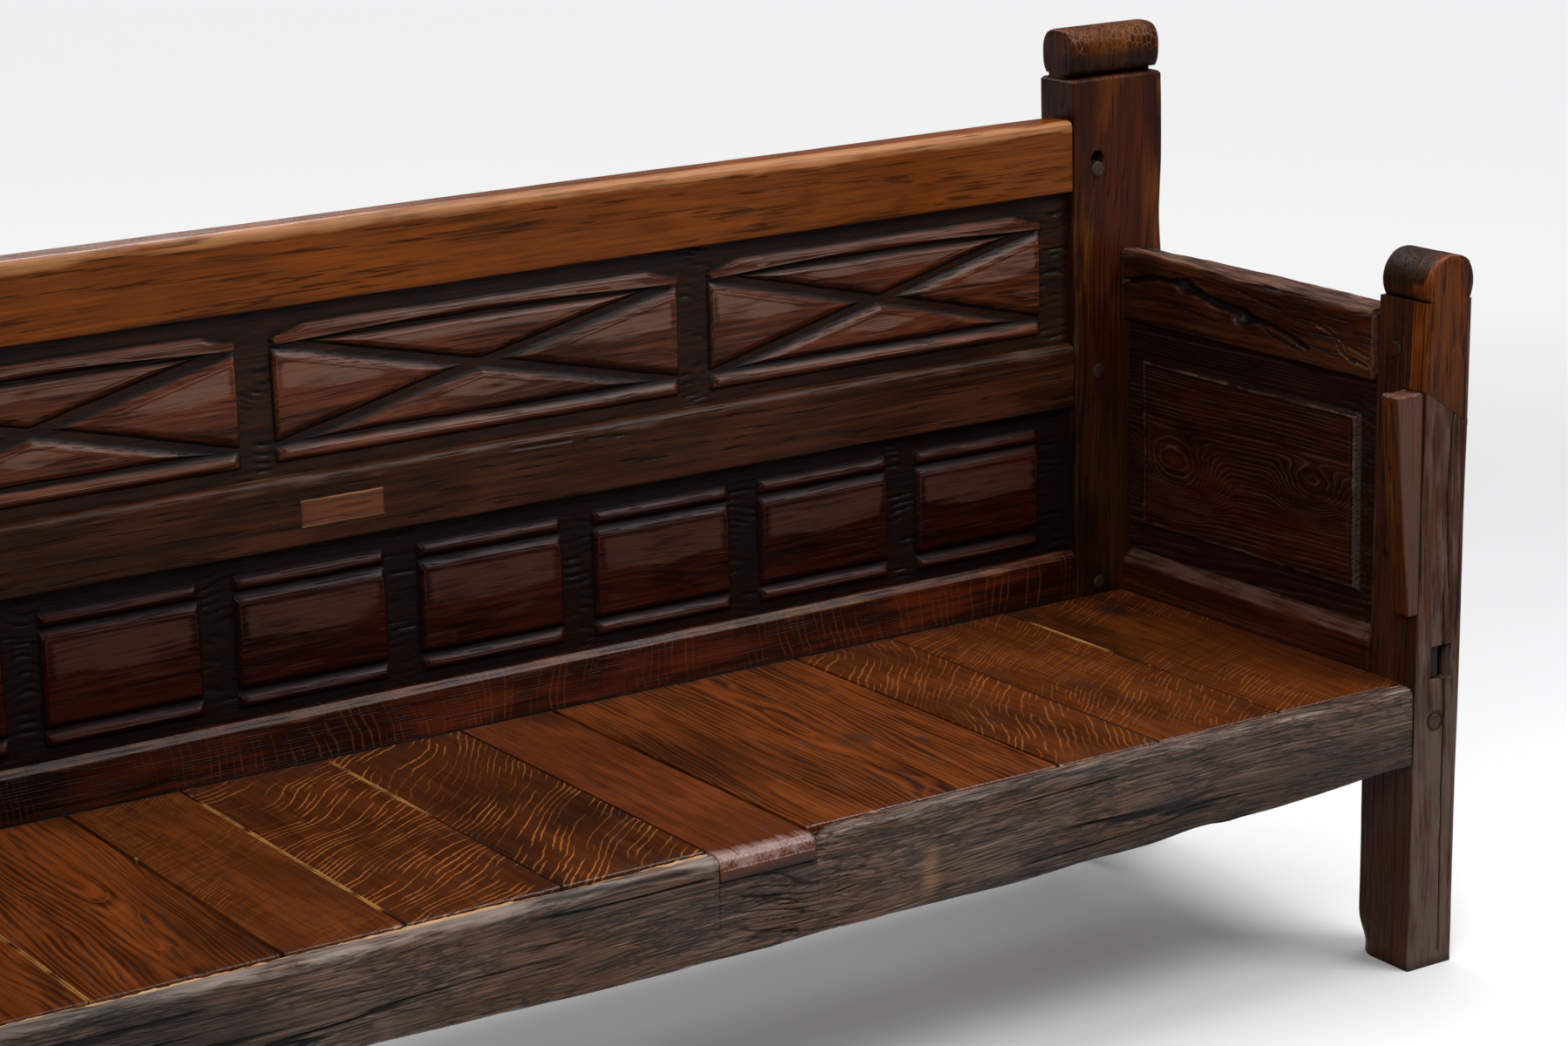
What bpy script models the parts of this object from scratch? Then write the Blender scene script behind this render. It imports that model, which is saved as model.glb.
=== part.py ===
"""Rustic oak bench with a carved back, panelled ends and a seat of loose boards.

Metres, +Z up. +X runs along the bench to the sitter's left, -Y is the front.
The origin lies on the floor under the middle of the bench's bounding box.
"""
import math

import bmesh
import bpy
from mathutils import Matrix

# Clearance between two pieces that touch.
GAP = 0.0003

# Main sizes of the frame.
INNER_LENGTH = 1.806
SEAT_HEIGHT = 0.380
SEAT_REACH = 0.595
BACK_POST_WIDTH = 0.154
BACK_POST_DEPTH = 0.075
FRONT_POST_WIDTH = 0.076
FRONT_POST_DEPTH = 0.090

# Heights in the back, upwards from the seat.
BOTTOM_RAIL_RISE = 0.067
LOWER_OPENING = 0.201
MID_RAIL_HEIGHT = 0.089
UPPER_OPENING = 0.204
TOP_RAIL_HEIGHT = 0.099
BACK_SHOULDER_RISE = 0.051
BOTTOM_RAIL_DROP = 0.065

# Sections of the back rails.
BACK_RAIL_THICKNESS = 0.050
TOP_RAIL_ROUNDING = 0.012
MID_RAIL_ROUNDING = 0.013
BOTTOM_RAIL_CHAMFER = 0.007

# Carved boards in the back.
BOARD_RECESS = 0.016
BOARD_THICKNESS = 0.020
CARVING_RELIEF = 0.008
CARVING_BEVEL = 0.006
CARVING_ROOT = 0.004
PANEL_GROOVE = 0.012

# Lower board: a row of raised fields, each between two bars.
FIELD_COUNT = 7
FIELD_GAP = 0.0434
FIELD_END_MARGIN = 0.0545
LOWER_BAR_BOTTOM = 0.013
LOWER_BAR_HEIGHT = 0.018
LOWER_BAR_GAP = 0.006
LOWER_BAR_TOP = 0.023

# Upper board: three panels, each a rectangle split by a saltire.
SALTIRE_END_MARGIN = 0.048
SALTIRE_GAP = 0.044
SALTIRE_MIDDLE_WIDTH = 0.568
UPPER_BAR_BOTTOM = 0.016
UPPER_BAR_HEIGHT = 0.019
UPPER_BAR_GAP = 0.006
UPPER_BAR_TOP = 0.021
UPPER_BAR_TIP = 0.045
SIDE_APEX_INSET = 0.030
TOP_TIP_INSET = 0.045
TOP_APEX_INSET = 0.005

# Seat boards, from the left end of the bench to the right.
SEAT_BOARD_THICKNESS = 0.030
SEAT_BOARD_WIDTHS = (0.174, 0.219, 0.146, 0.194, 0.187, 0.133, 0.366, 0.152, 0.190, 0.201)
NOSE_BOARD = 5
NOSE_ROUNDING = 0.016
SEAT_TONGUE = 0.014
SEAT_TONGUE_DROP = 0.008
SEAT_EDGE_EASE = 0.0015

# Front seat rail.
FRONT_RAIL_HEIGHT = 0.112
FRONT_RAIL_THICKNESS = 0.060
FRONT_RAIL_LIP = 0.029
FRONT_RAIL_ROUNDING = 0.012

# Ends of the bench.
ARM_HEIGHT = 0.477
ARM_RAIL_HEIGHT = 0.097
ARM_RAIL_THICKNESS = 0.070
ARM_RAIL_ROUNDING = 0.010
ARM_SILL_RISE = 0.058
ARM_SILL_DROP = 0.050
ARM_SILL_CHAMFER = 0.015
ARM_PANEL_RECESS = 0.016
ARM_PANEL_THICKNESS = 0.020
ARM_PANEL_GROOVE = 0.008
ARM_FIELD_MARGIN_BACK = 0.060
ARM_FIELD_MARGIN_FRONT = 0.035
ARM_FIELD_MARGIN_BOTTOM = 0.037
ARM_FIELD_MARGIN_TOP = 0.049
ARM_FIELD_BEVEL = 0.008
ARM_SHOULDER_RISE = 0.012

# Finials. The roll on a back post sits between its front notch and its neck.
BACK_FINIAL_HEIGHT = 0.066
BACK_ROLL_RADIUS = 0.034
BACK_ROLL_SETBACK = 0.004
BACK_ROLL_FRONT_ANGLE = 205
BACK_ROLL_BACK_ANGLE = -18
BACK_FINIAL_NOTCH = 0.014
BACK_FINIAL_NECK = 0.015
BACK_FINIAL_COVE = 0.008
FRONT_FINIAL_RADIUS = 0.037
FRONT_FINIAL_HEIGHT = 0.058

# Joinery.
BACK_TENON_LENGTH = 0.060
BACK_TENON_THICKNESS = 0.020
BACK_TENON_SHOULDER = 0.016
FRONT_TENON_LENGTH = 0.050
FRONT_TENON_THICKNESS = 0.024
FRONT_TENON_LOW_SHOULDER = 0.014
FRONT_TENON_TOP_SHOULDER = 0.002
ARM_TENON_LENGTH = 0.045
ARM_TENON_THICKNESS = 0.033
ARM_TENON_INSET = 0.025
ARM_TENON_LOW_SHOULDER = 0.015
ARM_TENON_TOP_SHOULDER = 0.022
SILL_TENON_HEIGHT = 0.043
SILL_TENON_TOP_SHOULDER = 0.011
SILL_TENON_SHORTFALL = 0.024

# Pegs.
PEG_RADIUS = 0.0110
PEG_SIDES = 20
PEG_SETBACK = 0.040
TOP_PEG_MARGIN = 0.002
BOTTOM_PEG_RISE = 0.016
PEG_PROUD = 0.002
PEG_BLIND = 0.006
FRONT_PEG_INSET = 0.033
FRONT_PEG_DROP = 0.0205
ARM_PEG_INSET = 0.031
OLD_HOLE_RADIUS = 0.0099
OLD_HOLE_RISE = 0.014
OLD_HOLE_DEPTH = 0.012

# Repairs at the right end and on the middle rail.
REPAIR_DEPTH = 0.033
REPAIR_SIDE = 0.009
REPAIR_DROP_INSIDE = 0.104
REPAIR_DROP_OUTSIDE = 0.150
WEDGE_HEIGHT = 0.287
WEDGE_TOP = 0.040
WEDGE_BOTTOM = 0.016
WEDGE_DEPTH = 0.032
WEDGE_CLEARANCE = 0.004
PATCH_LENGTH = 0.112
PATCH_HEIGHT = 0.034
PATCH_DEPTH = 0.010
PATCH_FROM_RIGHT = 1.053
PATCH_FROM_BOTTOM = 0.024

# Small edges, and the steps in which arcs are drawn.
POST_EASE = 0.004
WEDGE_EASE = 0.002
EASED_ANGLE = 50
ARC_STEPS = 8
ROLL_STEPS = 24

# How far a tenon is rooted in its rail, and how far a cut runs past the face it opens.
TENON_ROOT = 0.010
SPILL = 0.010
MERGE_DISTANCE = 0.00005

# Places that follow from the sizes above.
FRONT_FACE = -(SEAT_REACH + BACK_POST_DEPTH) / 2
BACK_PLANE = FRONT_FACE + SEAT_REACH
BACK_FACE = BACK_PLANE + BACK_POST_DEPTH
HALF_INNER = INNER_LENGTH / 2
OUTER_X = HALF_INNER + BACK_POST_WIDTH
FRONT_INNER_X = OUTER_X - FRONT_POST_WIDTH
FRONT_POST_BACK = FRONT_FACE + FRONT_POST_DEPTH
SEAT_TOP = SEAT_HEIGHT
SEAT_UNDER = SEAT_TOP - SEAT_BOARD_THICKNESS
SEAT_TONGUE_TOP = SEAT_TOP - SEAT_TONGUE_DROP
BOTTOM_RAIL_LOW = SEAT_TOP - BOTTOM_RAIL_DROP
BOTTOM_RAIL_TOP = SEAT_TOP + BOTTOM_RAIL_RISE
MID_RAIL_LOW = BOTTOM_RAIL_TOP + LOWER_OPENING
MID_RAIL_TOP = MID_RAIL_LOW + MID_RAIL_HEIGHT
TOP_RAIL_LOW = MID_RAIL_TOP + UPPER_OPENING
TOP_RAIL_TOP = TOP_RAIL_LOW + TOP_RAIL_HEIGHT
BACK_SHOULDER = TOP_RAIL_TOP + BACK_SHOULDER_RISE
ARM_TOP = SEAT_TOP + ARM_HEIGHT
ARM_RAIL_LOW = ARM_TOP - ARM_RAIL_HEIGHT
ARM_SILL_TOP = SEAT_TOP + ARM_SILL_RISE
ARM_SILL_LOW = SEAT_TOP - ARM_SILL_DROP
FRONT_SHOULDER = ARM_TOP + ARM_SHOULDER_RISE
FRONT_RAIL_LOW = SEAT_TOP - FRONT_RAIL_HEIGHT
BOARD_FRONT = BACK_PLANE + BOARD_RECESS
BOARD_BACK = BOARD_FRONT + BOARD_THICKNESS
BACK_TENON_FRONT = BACK_PLANE + (BACK_RAIL_THICKNESS - BACK_TENON_THICKNESS) / 2
LEDGE_FRONT = FRONT_FACE + FRONT_RAIL_LIP
FRONT_RAIL_BACK = FRONT_FACE + FRONT_RAIL_THICKNESS
FRONT_TENON_FRONT = FRONT_FACE + (FRONT_RAIL_THICKNESS - FRONT_TENON_THICKNESS) / 2

FINISHES = {
    "back_post_oak": ((0.085, 0.028, 0.012), 0.42),
    "front_post_oak": ((0.090, 0.040, 0.022), 0.48),
    "golden_rail_oak": ((0.300, 0.110, 0.028), 0.38),
    "dark_rail_oak": ((0.055, 0.017, 0.009), 0.36),
    "carved_board_oak": ((0.036, 0.012, 0.008), 0.34),
    "skirting_oak": ((0.150, 0.048, 0.014), 0.40),
    "seat_board_oak": ((0.170, 0.055, 0.014), 0.36),
    "nose_board_oak": ((0.150, 0.042, 0.018), 0.38),
    "weathered_rail_oak": ((0.050, 0.036, 0.028), 0.62),
    "arm_rail_oak": ((0.060, 0.024, 0.014), 0.45),
    "arm_panel_oak": ((0.040, 0.010, 0.007), 0.36),
    "repair_oak": ((0.200, 0.080, 0.026), 0.42),
    "peg_oak": ((0.090, 0.045, 0.026), 0.55),
}


def clear_scene():
    """Removes every object, so that the script starts from nothing."""
    for obj in list(bpy.data.objects):
        bpy.data.objects.remove(obj, do_unlink=True)


def new_collection(name):
    """Makes a collection under the scene's root."""
    collection = bpy.data.collections.new(name)
    bpy.context.scene.collection.children.link(collection)
    return collection


clear_scene()
PARTS = new_collection("rustic_bench")
CUTTERS = new_collection("cutters")
ROOT = bpy.data.objects.new("bench_origin", None)
PARTS.objects.link(ROOT)


def finish(name):
    """Gives the wood finish of that name, made on its first use."""
    material = bpy.data.materials.get(name)
    if material is None:
        colour, roughness = FINISHES[name]
        material = bpy.data.materials.new(name)
        material.use_nodes = True
        shader = material.node_tree.nodes["Principled BSDF"]
        shader.inputs["Base Color"].default_value = (*colour, 1.0)
        shader.inputs["Roughness"].default_value = roughness
        shader.inputs["Metallic"].default_value = 0.0
    return material


def as_part(obj, material_name):
    """Puts a finished piece under the bench's origin with its material."""
    obj.data.materials.clear()
    obj.data.materials.append(finish(material_name))
    obj.parent = ROOT
    return obj


def as_tool(obj):
    """Hides a cutter or a joined-on shape, so that only its effect is built."""
    PARTS.objects.unlink(obj)
    CUTTERS.objects.link(obj)
    obj.hide_render = True
    obj.display_type = "WIRE"
    return obj


def box(name, bounds):
    """Makes a box from (x0, x1, y0, y1, z0, z1), with its origin in its middle."""
    x0, x1, y0, y1, z0, z1 = bounds
    mesh = bpy.data.meshes.new(name)
    shape = bmesh.new()
    scale = Matrix.Diagonal((x1 - x0, y1 - y0, z1 - z0, 1.0))
    bmesh.ops.create_cube(shape, size=1.0, matrix=scale)
    shape.to_mesh(mesh)
    shape.free()
    obj = bpy.data.objects.new(name, mesh)
    obj.location = ((x0 + x1) / 2, (y0 + y1) / 2, (z0 + z1) / 2)
    PARTS.objects.link(obj)
    return obj


# Turns an outline's plane so that its thickness runs along the named axis.
AXIS_TURN = {
    "X": Matrix(((0, 0, 1), (1, 0, 0), (0, 1, 0))),
    "Y": Matrix(((1, 0, 0), (0, 0, -1), (0, 1, 0))),
    "Z": Matrix.Identity(3),
}


def prism(name, outline, axis, start, end):
    """Extrudes a flat outline along an axis.

    The outline's points are (y, z) for axis X, (x, z) for axis Y and (x, y) for axis Z.
    """
    curve = bpy.data.curves.new(name, "CURVE")
    curve.dimensions = "2D"
    curve.fill_mode = "BOTH"
    curve.extrude = (end - start) / 2
    spline = curve.splines.new("POLY")
    spline.points.add(len(outline) - 1)
    for point, (u, v) in zip(spline.points, outline):
        point.co = (u, v, 0.0, 1.0)
    spline.use_cyclic_u = True
    drawn = bpy.data.objects.new(name + "_outline", curve)
    PARTS.objects.link(drawn)
    turn = AXIS_TURN[axis].to_4x4()
    middle = (start + end) / 2
    offset = {"X": (middle, 0, 0), "Y": (0, middle, 0), "Z": (0, 0, middle)}[axis]
    drawn.matrix_world = Matrix.Translation(offset) @ turn
    graph = bpy.context.evaluated_depsgraph_get()
    mesh = bpy.data.meshes.new_from_object(drawn.evaluated_get(graph))
    mesh.name = name
    shape = bmesh.new()
    shape.from_mesh(mesh)
    bmesh.ops.remove_doubles(shape, verts=shape.verts, dist=MERGE_DISTANCE)
    bmesh.ops.recalc_face_normals(shape, faces=shape.faces)
    shape.to_mesh(mesh)
    shape.free()
    obj = bpy.data.objects.new(name, mesh)
    obj.matrix_world = drawn.matrix_world
    PARTS.objects.link(obj)
    bpy.data.objects.remove(drawn, do_unlink=True)
    return obj


def rod(name, axis, centre, start, end, radius):
    """Makes a round peg, or its hole, along X or Y between two places on that axis."""
    mesh = bpy.data.meshes.new(name)
    shape = bmesh.new()
    bmesh.ops.create_cone(
        shape, cap_ends=True, segments=PEG_SIDES, radius1=radius, radius2=radius, depth=end - start
    )
    shape.to_mesh(mesh)
    shape.free()
    mesh.shade_smooth()
    mesh.set_sharp_from_angle(angle=math.radians(40))
    obj = bpy.data.objects.new(name, mesh)
    middle = (start + end) / 2
    if axis == "X":
        obj.rotation_euler = (0, math.pi / 2, 0)
        obj.location = (middle, centre[0], centre[1])
    else:
        obj.rotation_euler = (math.pi / 2, 0, 0)
        obj.location = (centre[0], middle, centre[1])
    PARTS.objects.link(obj)
    return obj


def ease(obj, width, segments=1):
    """Takes the sharp edges off a piece before it is cut."""
    bevel = obj.modifiers.new("eased_edges", "BEVEL")
    bevel.width = width
    bevel.segments = segments
    bevel.limit_method = "ANGLE"
    bevel.angle_limit = math.radians(EASED_ANGLE)


def combine(obj, tool, operation):
    """Adds or removes a tool's shape with a Boolean."""
    boolean = obj.modifiers.new(operation.lower(), "BOOLEAN")
    boolean.operation = operation
    boolean.solver = "EXACT"
    boolean.object = as_tool(tool)


def join_on(obj, *tools):
    """Adds each tool's shape to the piece."""
    for tool in tools:
        combine(obj, tool, "UNION")


def cut_out(obj, *tools):
    """Takes each tool's shape out of the piece."""
    for tool in tools:
        combine(obj, tool, "DIFFERENCE")


def grown(bounds, gap=GAP):
    """Gives a box's bounds with the clearance added on every side."""
    x0, x1, y0, y1, z0, z1 = bounds
    return (x0 - gap, x1 + gap, y0 - gap, y1 + gap, z0 - gap, z1 + gap)


def sided(side, inner, outer, rest):
    """Gives bounds between two distances from the middle, at the right (1) or left (-1)."""
    x0, x1 = sorted((side * inner, side * outer))
    return (x0, x1, *rest)


def corner_arc(centre, radius, start, end, steps=ARC_STEPS):
    """Gives the points of an arc, with its angles in degrees from the first axis."""
    points = []
    for step in range(steps + 1):
        angle = math.radians(start + (end - start) * step / steps)
        points.append((centre[0] + radius * math.cos(angle), centre[1] + radius * math.sin(angle)))
    return points


def side_name(side):
    """Names the end of the bench as seen in front of it."""
    return "right" if side > 0 else "left"


def back_tenon(side, low, top):
    """Bounds of a back rail's tenon in the back post."""
    return sided(
        side,
        HALF_INNER - TENON_ROOT,
        HALF_INNER + BACK_TENON_LENGTH,
        (
            BACK_TENON_FRONT,
            BACK_TENON_FRONT + BACK_TENON_THICKNESS,
            low + BACK_TENON_SHOULDER,
            top - BACK_TENON_SHOULDER,
        ),
    )


def front_tenon(side):
    """Bounds of the front rail's tenon in the front post."""
    return sided(
        side,
        FRONT_INNER_X - TENON_ROOT,
        FRONT_INNER_X + FRONT_TENON_LENGTH,
        (
            FRONT_TENON_FRONT,
            FRONT_TENON_FRONT + FRONT_TENON_THICKNESS,
            FRONT_RAIL_LOW + FRONT_TENON_LOW_SHOULDER,
            SEAT_UNDER - FRONT_TENON_TOP_SHOULDER,
        ),
    )


ARM_TENON_X = FRONT_INNER_X + ARM_TENON_INSET
ARM_TENON_LOW = ARM_RAIL_LOW + ARM_TENON_LOW_SHOULDER
ARM_TENON_TOP = ARM_TOP - ARM_TENON_TOP_SHOULDER
SILL_TENON_TOP = ARM_SILL_TOP - SILL_TENON_TOP_SHOULDER
SILL_TENON_LOW = SILL_TENON_TOP - SILL_TENON_HEIGHT


def arm_tenon(side, y0, y1, low, top):
    """Bounds of a tenon at either end of an arm rail."""
    return sided(side, ARM_TENON_X, ARM_TENON_X + ARM_TENON_THICKNESS, (y0, y1, low, top))


BACK_RAIL_LEVELS = {
    "top": (TOP_RAIL_LOW, TOP_RAIL_TOP),
    "mid": (MID_RAIL_LOW, MID_RAIL_TOP),
    "bottom": (BOTTOM_RAIL_LOW, BOTTOM_RAIL_TOP),
}
BACK_PEG_LEVELS = {
    "top": TOP_RAIL_LOW + BACK_TENON_SHOULDER + PEG_RADIUS + TOP_PEG_MARGIN,
    "mid": (MID_RAIL_LOW + MID_RAIL_TOP) / 2,
    "bottom": SEAT_TOP + BOTTOM_PEG_RISE,
}
ARM_PEG_LEVELS = {
    "top": (ARM_TENON_LOW + ARM_TENON_TOP) / 2,
    "sill": (SILL_TENON_LOW + SILL_TENON_TOP) / 2,
}
FRONT_PEG_LEVEL = SEAT_UNDER - FRONT_PEG_DROP


def back_peg(name, side, level, gap=0.0):
    """A peg that runs from the front of a back post through a rail's tenon."""
    start = BACK_PLANE - PEG_PROUD - gap
    end = BACK_FACE - PEG_BLIND + gap
    x = side * (HALF_INNER + PEG_SETBACK)
    return rod(name, "Y", (x, level), start, end, PEG_RADIUS + gap)


def front_peg(name, side, gap=0.0):
    """The peg that runs from the front of a front post through the front rail's tenon."""
    start = FRONT_FACE - gap
    end = FRONT_POST_BACK - PEG_BLIND + gap
    x = side * (FRONT_INNER_X + FRONT_PEG_INSET)
    return rod(name, "Y", (x, FRONT_PEG_LEVEL), start, end, PEG_RADIUS + gap)


def along_x(side, inner, outer):
    """Sorts two distances from the middle into a start and an end on X."""
    return sorted((side * inner, side * outer))


def arm_front_peg(name, side, gap=0.0):
    """The peg that runs from a front post's inner face through the top arm rail's tenon."""
    start, end = along_x(side, FRONT_INNER_X - gap, OUTER_X - PEG_BLIND + gap)
    centre = (FRONT_POST_BACK - ARM_PEG_INSET, ARM_PEG_LEVELS["top"])
    return rod(name, "X", centre, start, end, PEG_RADIUS + gap)


def arm_back_peg(name, side, level, gap=0.0):
    """A peg that runs from a back post's outer face through an arm rail's tenon."""
    inner = ARM_TENON_X - PEG_RADIUS
    start, end = along_x(side, inner - gap, OUTER_X + gap)
    centre = (BACK_PLANE + ARM_TENON_LENGTH / 2, level)
    return rod(name, "X", centre, start, end, PEG_RADIUS + gap)


def back_post_outline():
    """The back post from its side, with the roll and the neck of its finial on top."""
    crown = BACK_SHOULDER + BACK_FINIAL_HEIGHT
    roll = BACK_ROLL_RADIUS
    centre = (BACK_PLANE + BACK_ROLL_SETBACK + roll, crown - roll)
    outline = [
        (BACK_PLANE, 0.0),
        (BACK_PLANE, BACK_SHOULDER),
        (BACK_PLANE + BACK_FINIAL_NOTCH, BACK_SHOULDER),
    ]
    outline += corner_arc(centre, roll, BACK_ROLL_FRONT_ANGLE, BACK_ROLL_BACK_ANGLE, ROLL_STEPS)
    neck = BACK_FACE - BACK_FINIAL_NECK
    cove = BACK_FINIAL_COVE
    outline += corner_arc((neck + cove, BACK_SHOULDER + cove), cove, 180, 270, ARC_STEPS // 2)
    outline += [(BACK_FACE, BACK_SHOULDER), (BACK_FACE, 0.0)]
    return outline


def back_post(side):
    """A back post with mortises for the rails, grooves for the boards and peg holes."""
    start, end = along_x(side, HALF_INNER, OUTER_X)
    name = "back_post_" + side_name(side)
    post = prism(name, back_post_outline(), "X", start, end)
    ease(post, POST_EASE)
    for rail, (low, top) in BACK_RAIL_LEVELS.items():
        tenon = back_tenon(side, low, top)
        cut_out(post, box(name + "_mortise_" + rail, grown(tenon)))
        hole = back_peg(name + "_peg_hole_" + rail, side, BACK_PEG_LEVELS[rail], GAP)
        cut_out(post, hole)
    for board, low, top in (
        ("lower", BOTTOM_RAIL_TOP, MID_RAIL_LOW),
        ("upper", MID_RAIL_TOP, TOP_RAIL_LOW),
    ):
        slot = sided(
            side,
            HALF_INNER - SPILL,
            HALF_INNER + PANEL_GROOVE,
            (BOARD_FRONT, BOARD_BACK, low - PANEL_GROOVE, top + PANEL_GROOVE),
        )
        cut_out(post, box(name + "_groove_" + board, grown(slot)))
    for rail, low, top in (
        ("top", ARM_TENON_LOW, ARM_TENON_TOP),
        ("sill", SILL_TENON_LOW, SILL_TENON_TOP),
    ):
        tenon = arm_tenon(side, BACK_PLANE - SPILL, BACK_PLANE + ARM_TENON_LENGTH, low, top)
        cut_out(post, box(name + "_arm_mortise_" + rail, grown(tenon)))
        hole = arm_back_peg(name + "_arm_peg_hole_" + rail, side, ARM_PEG_LEVELS[rail], GAP)
        cut_out(post, hole)
    groove = sided(
        side,
        FRONT_INNER_X + ARM_PANEL_RECESS,
        FRONT_INNER_X + ARM_PANEL_RECESS + ARM_PANEL_THICKNESS,
        (
            BACK_PLANE - SPILL,
            BACK_PLANE + ARM_PANEL_GROOVE,
            ARM_SILL_TOP - ARM_PANEL_GROOVE,
            ARM_RAIL_LOW + ARM_PANEL_GROOVE,
        ),
    )
    cut_out(post, box(name + "_arm_groove", grown(groove)))
    old_hole = rod(
        name + "_old_hole",
        "Y",
        (side * (HALF_INNER + PEG_SETBACK), BACK_PEG_LEVELS["top"] + OLD_HOLE_RISE),
        BACK_PLANE - SPILL,
        BACK_PLANE + OLD_HOLE_DEPTH,
        OLD_HOLE_RADIUS,
    )
    cut_out(post, old_hole)
    return as_part(post, "back_post_oak")


def front_post_outline(side):
    """The front post from the front, with its arched finial over a notched neck."""
    middle = side * (FRONT_INNER_X + OUTER_X) / 2
    half = FRONT_POST_WIDTH / 2
    rise = FRONT_FINIAL_HEIGHT - FRONT_FINIAL_RADIUS
    foot = math.degrees(math.asin(rise / FRONT_FINIAL_RADIUS))
    outline = [(middle + half, 0.0), (middle + half, FRONT_SHOULDER)]
    outline += corner_arc(
        (middle, FRONT_SHOULDER + rise), FRONT_FINIAL_RADIUS, -foot, 180 + foot, ROLL_STEPS
    )
    outline += [(middle - half, FRONT_SHOULDER), (middle - half, 0.0)]
    return outline


def repair_region(name, gap=0.0):
    """The space of the new wood let into the front of the right front post's top."""
    inner = FRONT_INNER_X - SPILL
    outer = OUTER_X - REPAIR_SIDE + gap
    drop_in = FRONT_SHOULDER - REPAIR_DROP_INSIDE - gap
    drop_out = FRONT_SHOULDER - REPAIR_DROP_OUTSIDE - gap
    top = FRONT_SHOULDER + FRONT_FINIAL_HEIGHT + SPILL
    outline = [(inner, drop_in), (outer, drop_out), (outer, top), (inner, top)]
    return prism(name, outline, "Y", FRONT_FACE - SPILL, FRONT_FACE + REPAIR_DEPTH + gap)


def front_post(side):
    """A front post with its mortises, groove and peg holes; the right one is repaired."""
    name = "front_post_" + side_name(side)
    post = prism(name, front_post_outline(side), "Y", FRONT_FACE, FRONT_POST_BACK)
    ease(post, POST_EASE)
    cut_out(post, box(name + "_rail_mortise", grown(front_tenon(side))))
    cut_out(post, front_peg(name + "_peg_hole", side, GAP))
    top_tenon = arm_tenon(
        side,
        FRONT_POST_BACK - FRONT_TENON_LENGTH,
        FRONT_POST_BACK + SPILL,
        ARM_TENON_LOW,
        ARM_TENON_TOP,
    )
    cut_out(post, box(name + "_arm_mortise", grown(top_tenon)))
    cut_out(post, arm_front_peg(name + "_arm_peg_hole", side, GAP))
    through = arm_tenon(
        side,
        FRONT_FACE - SPILL,
        FRONT_POST_BACK + SPILL,
        SILL_TENON_LOW,
        SILL_TENON_TOP,
    )
    cut_out(post, box(name + "_through_mortise", grown(through)))
    groove = sided(
        side,
        FRONT_INNER_X + ARM_PANEL_RECESS,
        FRONT_INNER_X + ARM_PANEL_RECESS + ARM_PANEL_THICKNESS,
        (
            FRONT_POST_BACK - ARM_PANEL_GROOVE,
            FRONT_POST_BACK + SPILL,
            ARM_SILL_TOP - ARM_PANEL_GROOVE,
            ARM_RAIL_LOW + ARM_PANEL_GROOVE,
        ),
    )
    cut_out(post, box(name + "_panel_groove", grown(groove)))
    if side > 0:
        cut_out(post, repair_region(name + "_repair_seat", GAP))
    return as_part(post, "front_post_oak")


def post_repair():
    """The lighter block that renews the front of the right front post's top."""
    block = prism("front_post_repair", front_post_outline(1), "Y", FRONT_FACE, FRONT_POST_BACK)
    ease(block, POST_EASE)
    combine(block, repair_region("front_post_repair_space"), "INTERSECT")
    return as_part(block, "repair_oak")


def post_wedge():
    """The tapered block on the inner face of the right front post."""
    face = FRONT_INNER_X - GAP
    top = FRONT_SHOULDER - REPAIR_DROP_INSIDE - WEDGE_CLEARANCE
    outline = [
        (face, top - WEDGE_HEIGHT),
        (face, top),
        (face - WEDGE_TOP, top),
        (face - WEDGE_BOTTOM, top - WEDGE_HEIGHT),
    ]
    block = prism("front_post_wedge", outline, "Y", FRONT_FACE, FRONT_FACE + WEDGE_DEPTH)
    ease(block, WEDGE_EASE)
    return as_part(block, "front_post_oak")


def groove_bounds(level, up):
    """Bounds of a back rail's groove for a carved board, above or below a rail's edge."""
    low, top = (level - PANEL_GROOVE, level + SPILL) if up else (level - SPILL, level + PANEL_GROOVE)
    reach = HALF_INNER + SPILL
    return grown((-reach, reach, BOARD_FRONT, BOARD_BACK, low, top))


def back_rail_outline(rail):
    """A back rail from its side, with the worn or planed edge that it shows."""
    low, top = BACK_RAIL_LEVELS[rail]
    front = BACK_PLANE
    back = BACK_PLANE + BACK_RAIL_THICKNESS
    if rail == "bottom":
        edge = [(front, top - BOTTOM_RAIL_CHAMFER), (front + BOTTOM_RAIL_CHAMFER, top)]
    else:
        radius = TOP_RAIL_ROUNDING if rail == "top" else MID_RAIL_ROUNDING
        edge = corner_arc((front + radius, top - radius), radius, 180, 90)
    return [(front, low)] + edge + [(back, top), (back, low)]


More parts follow.
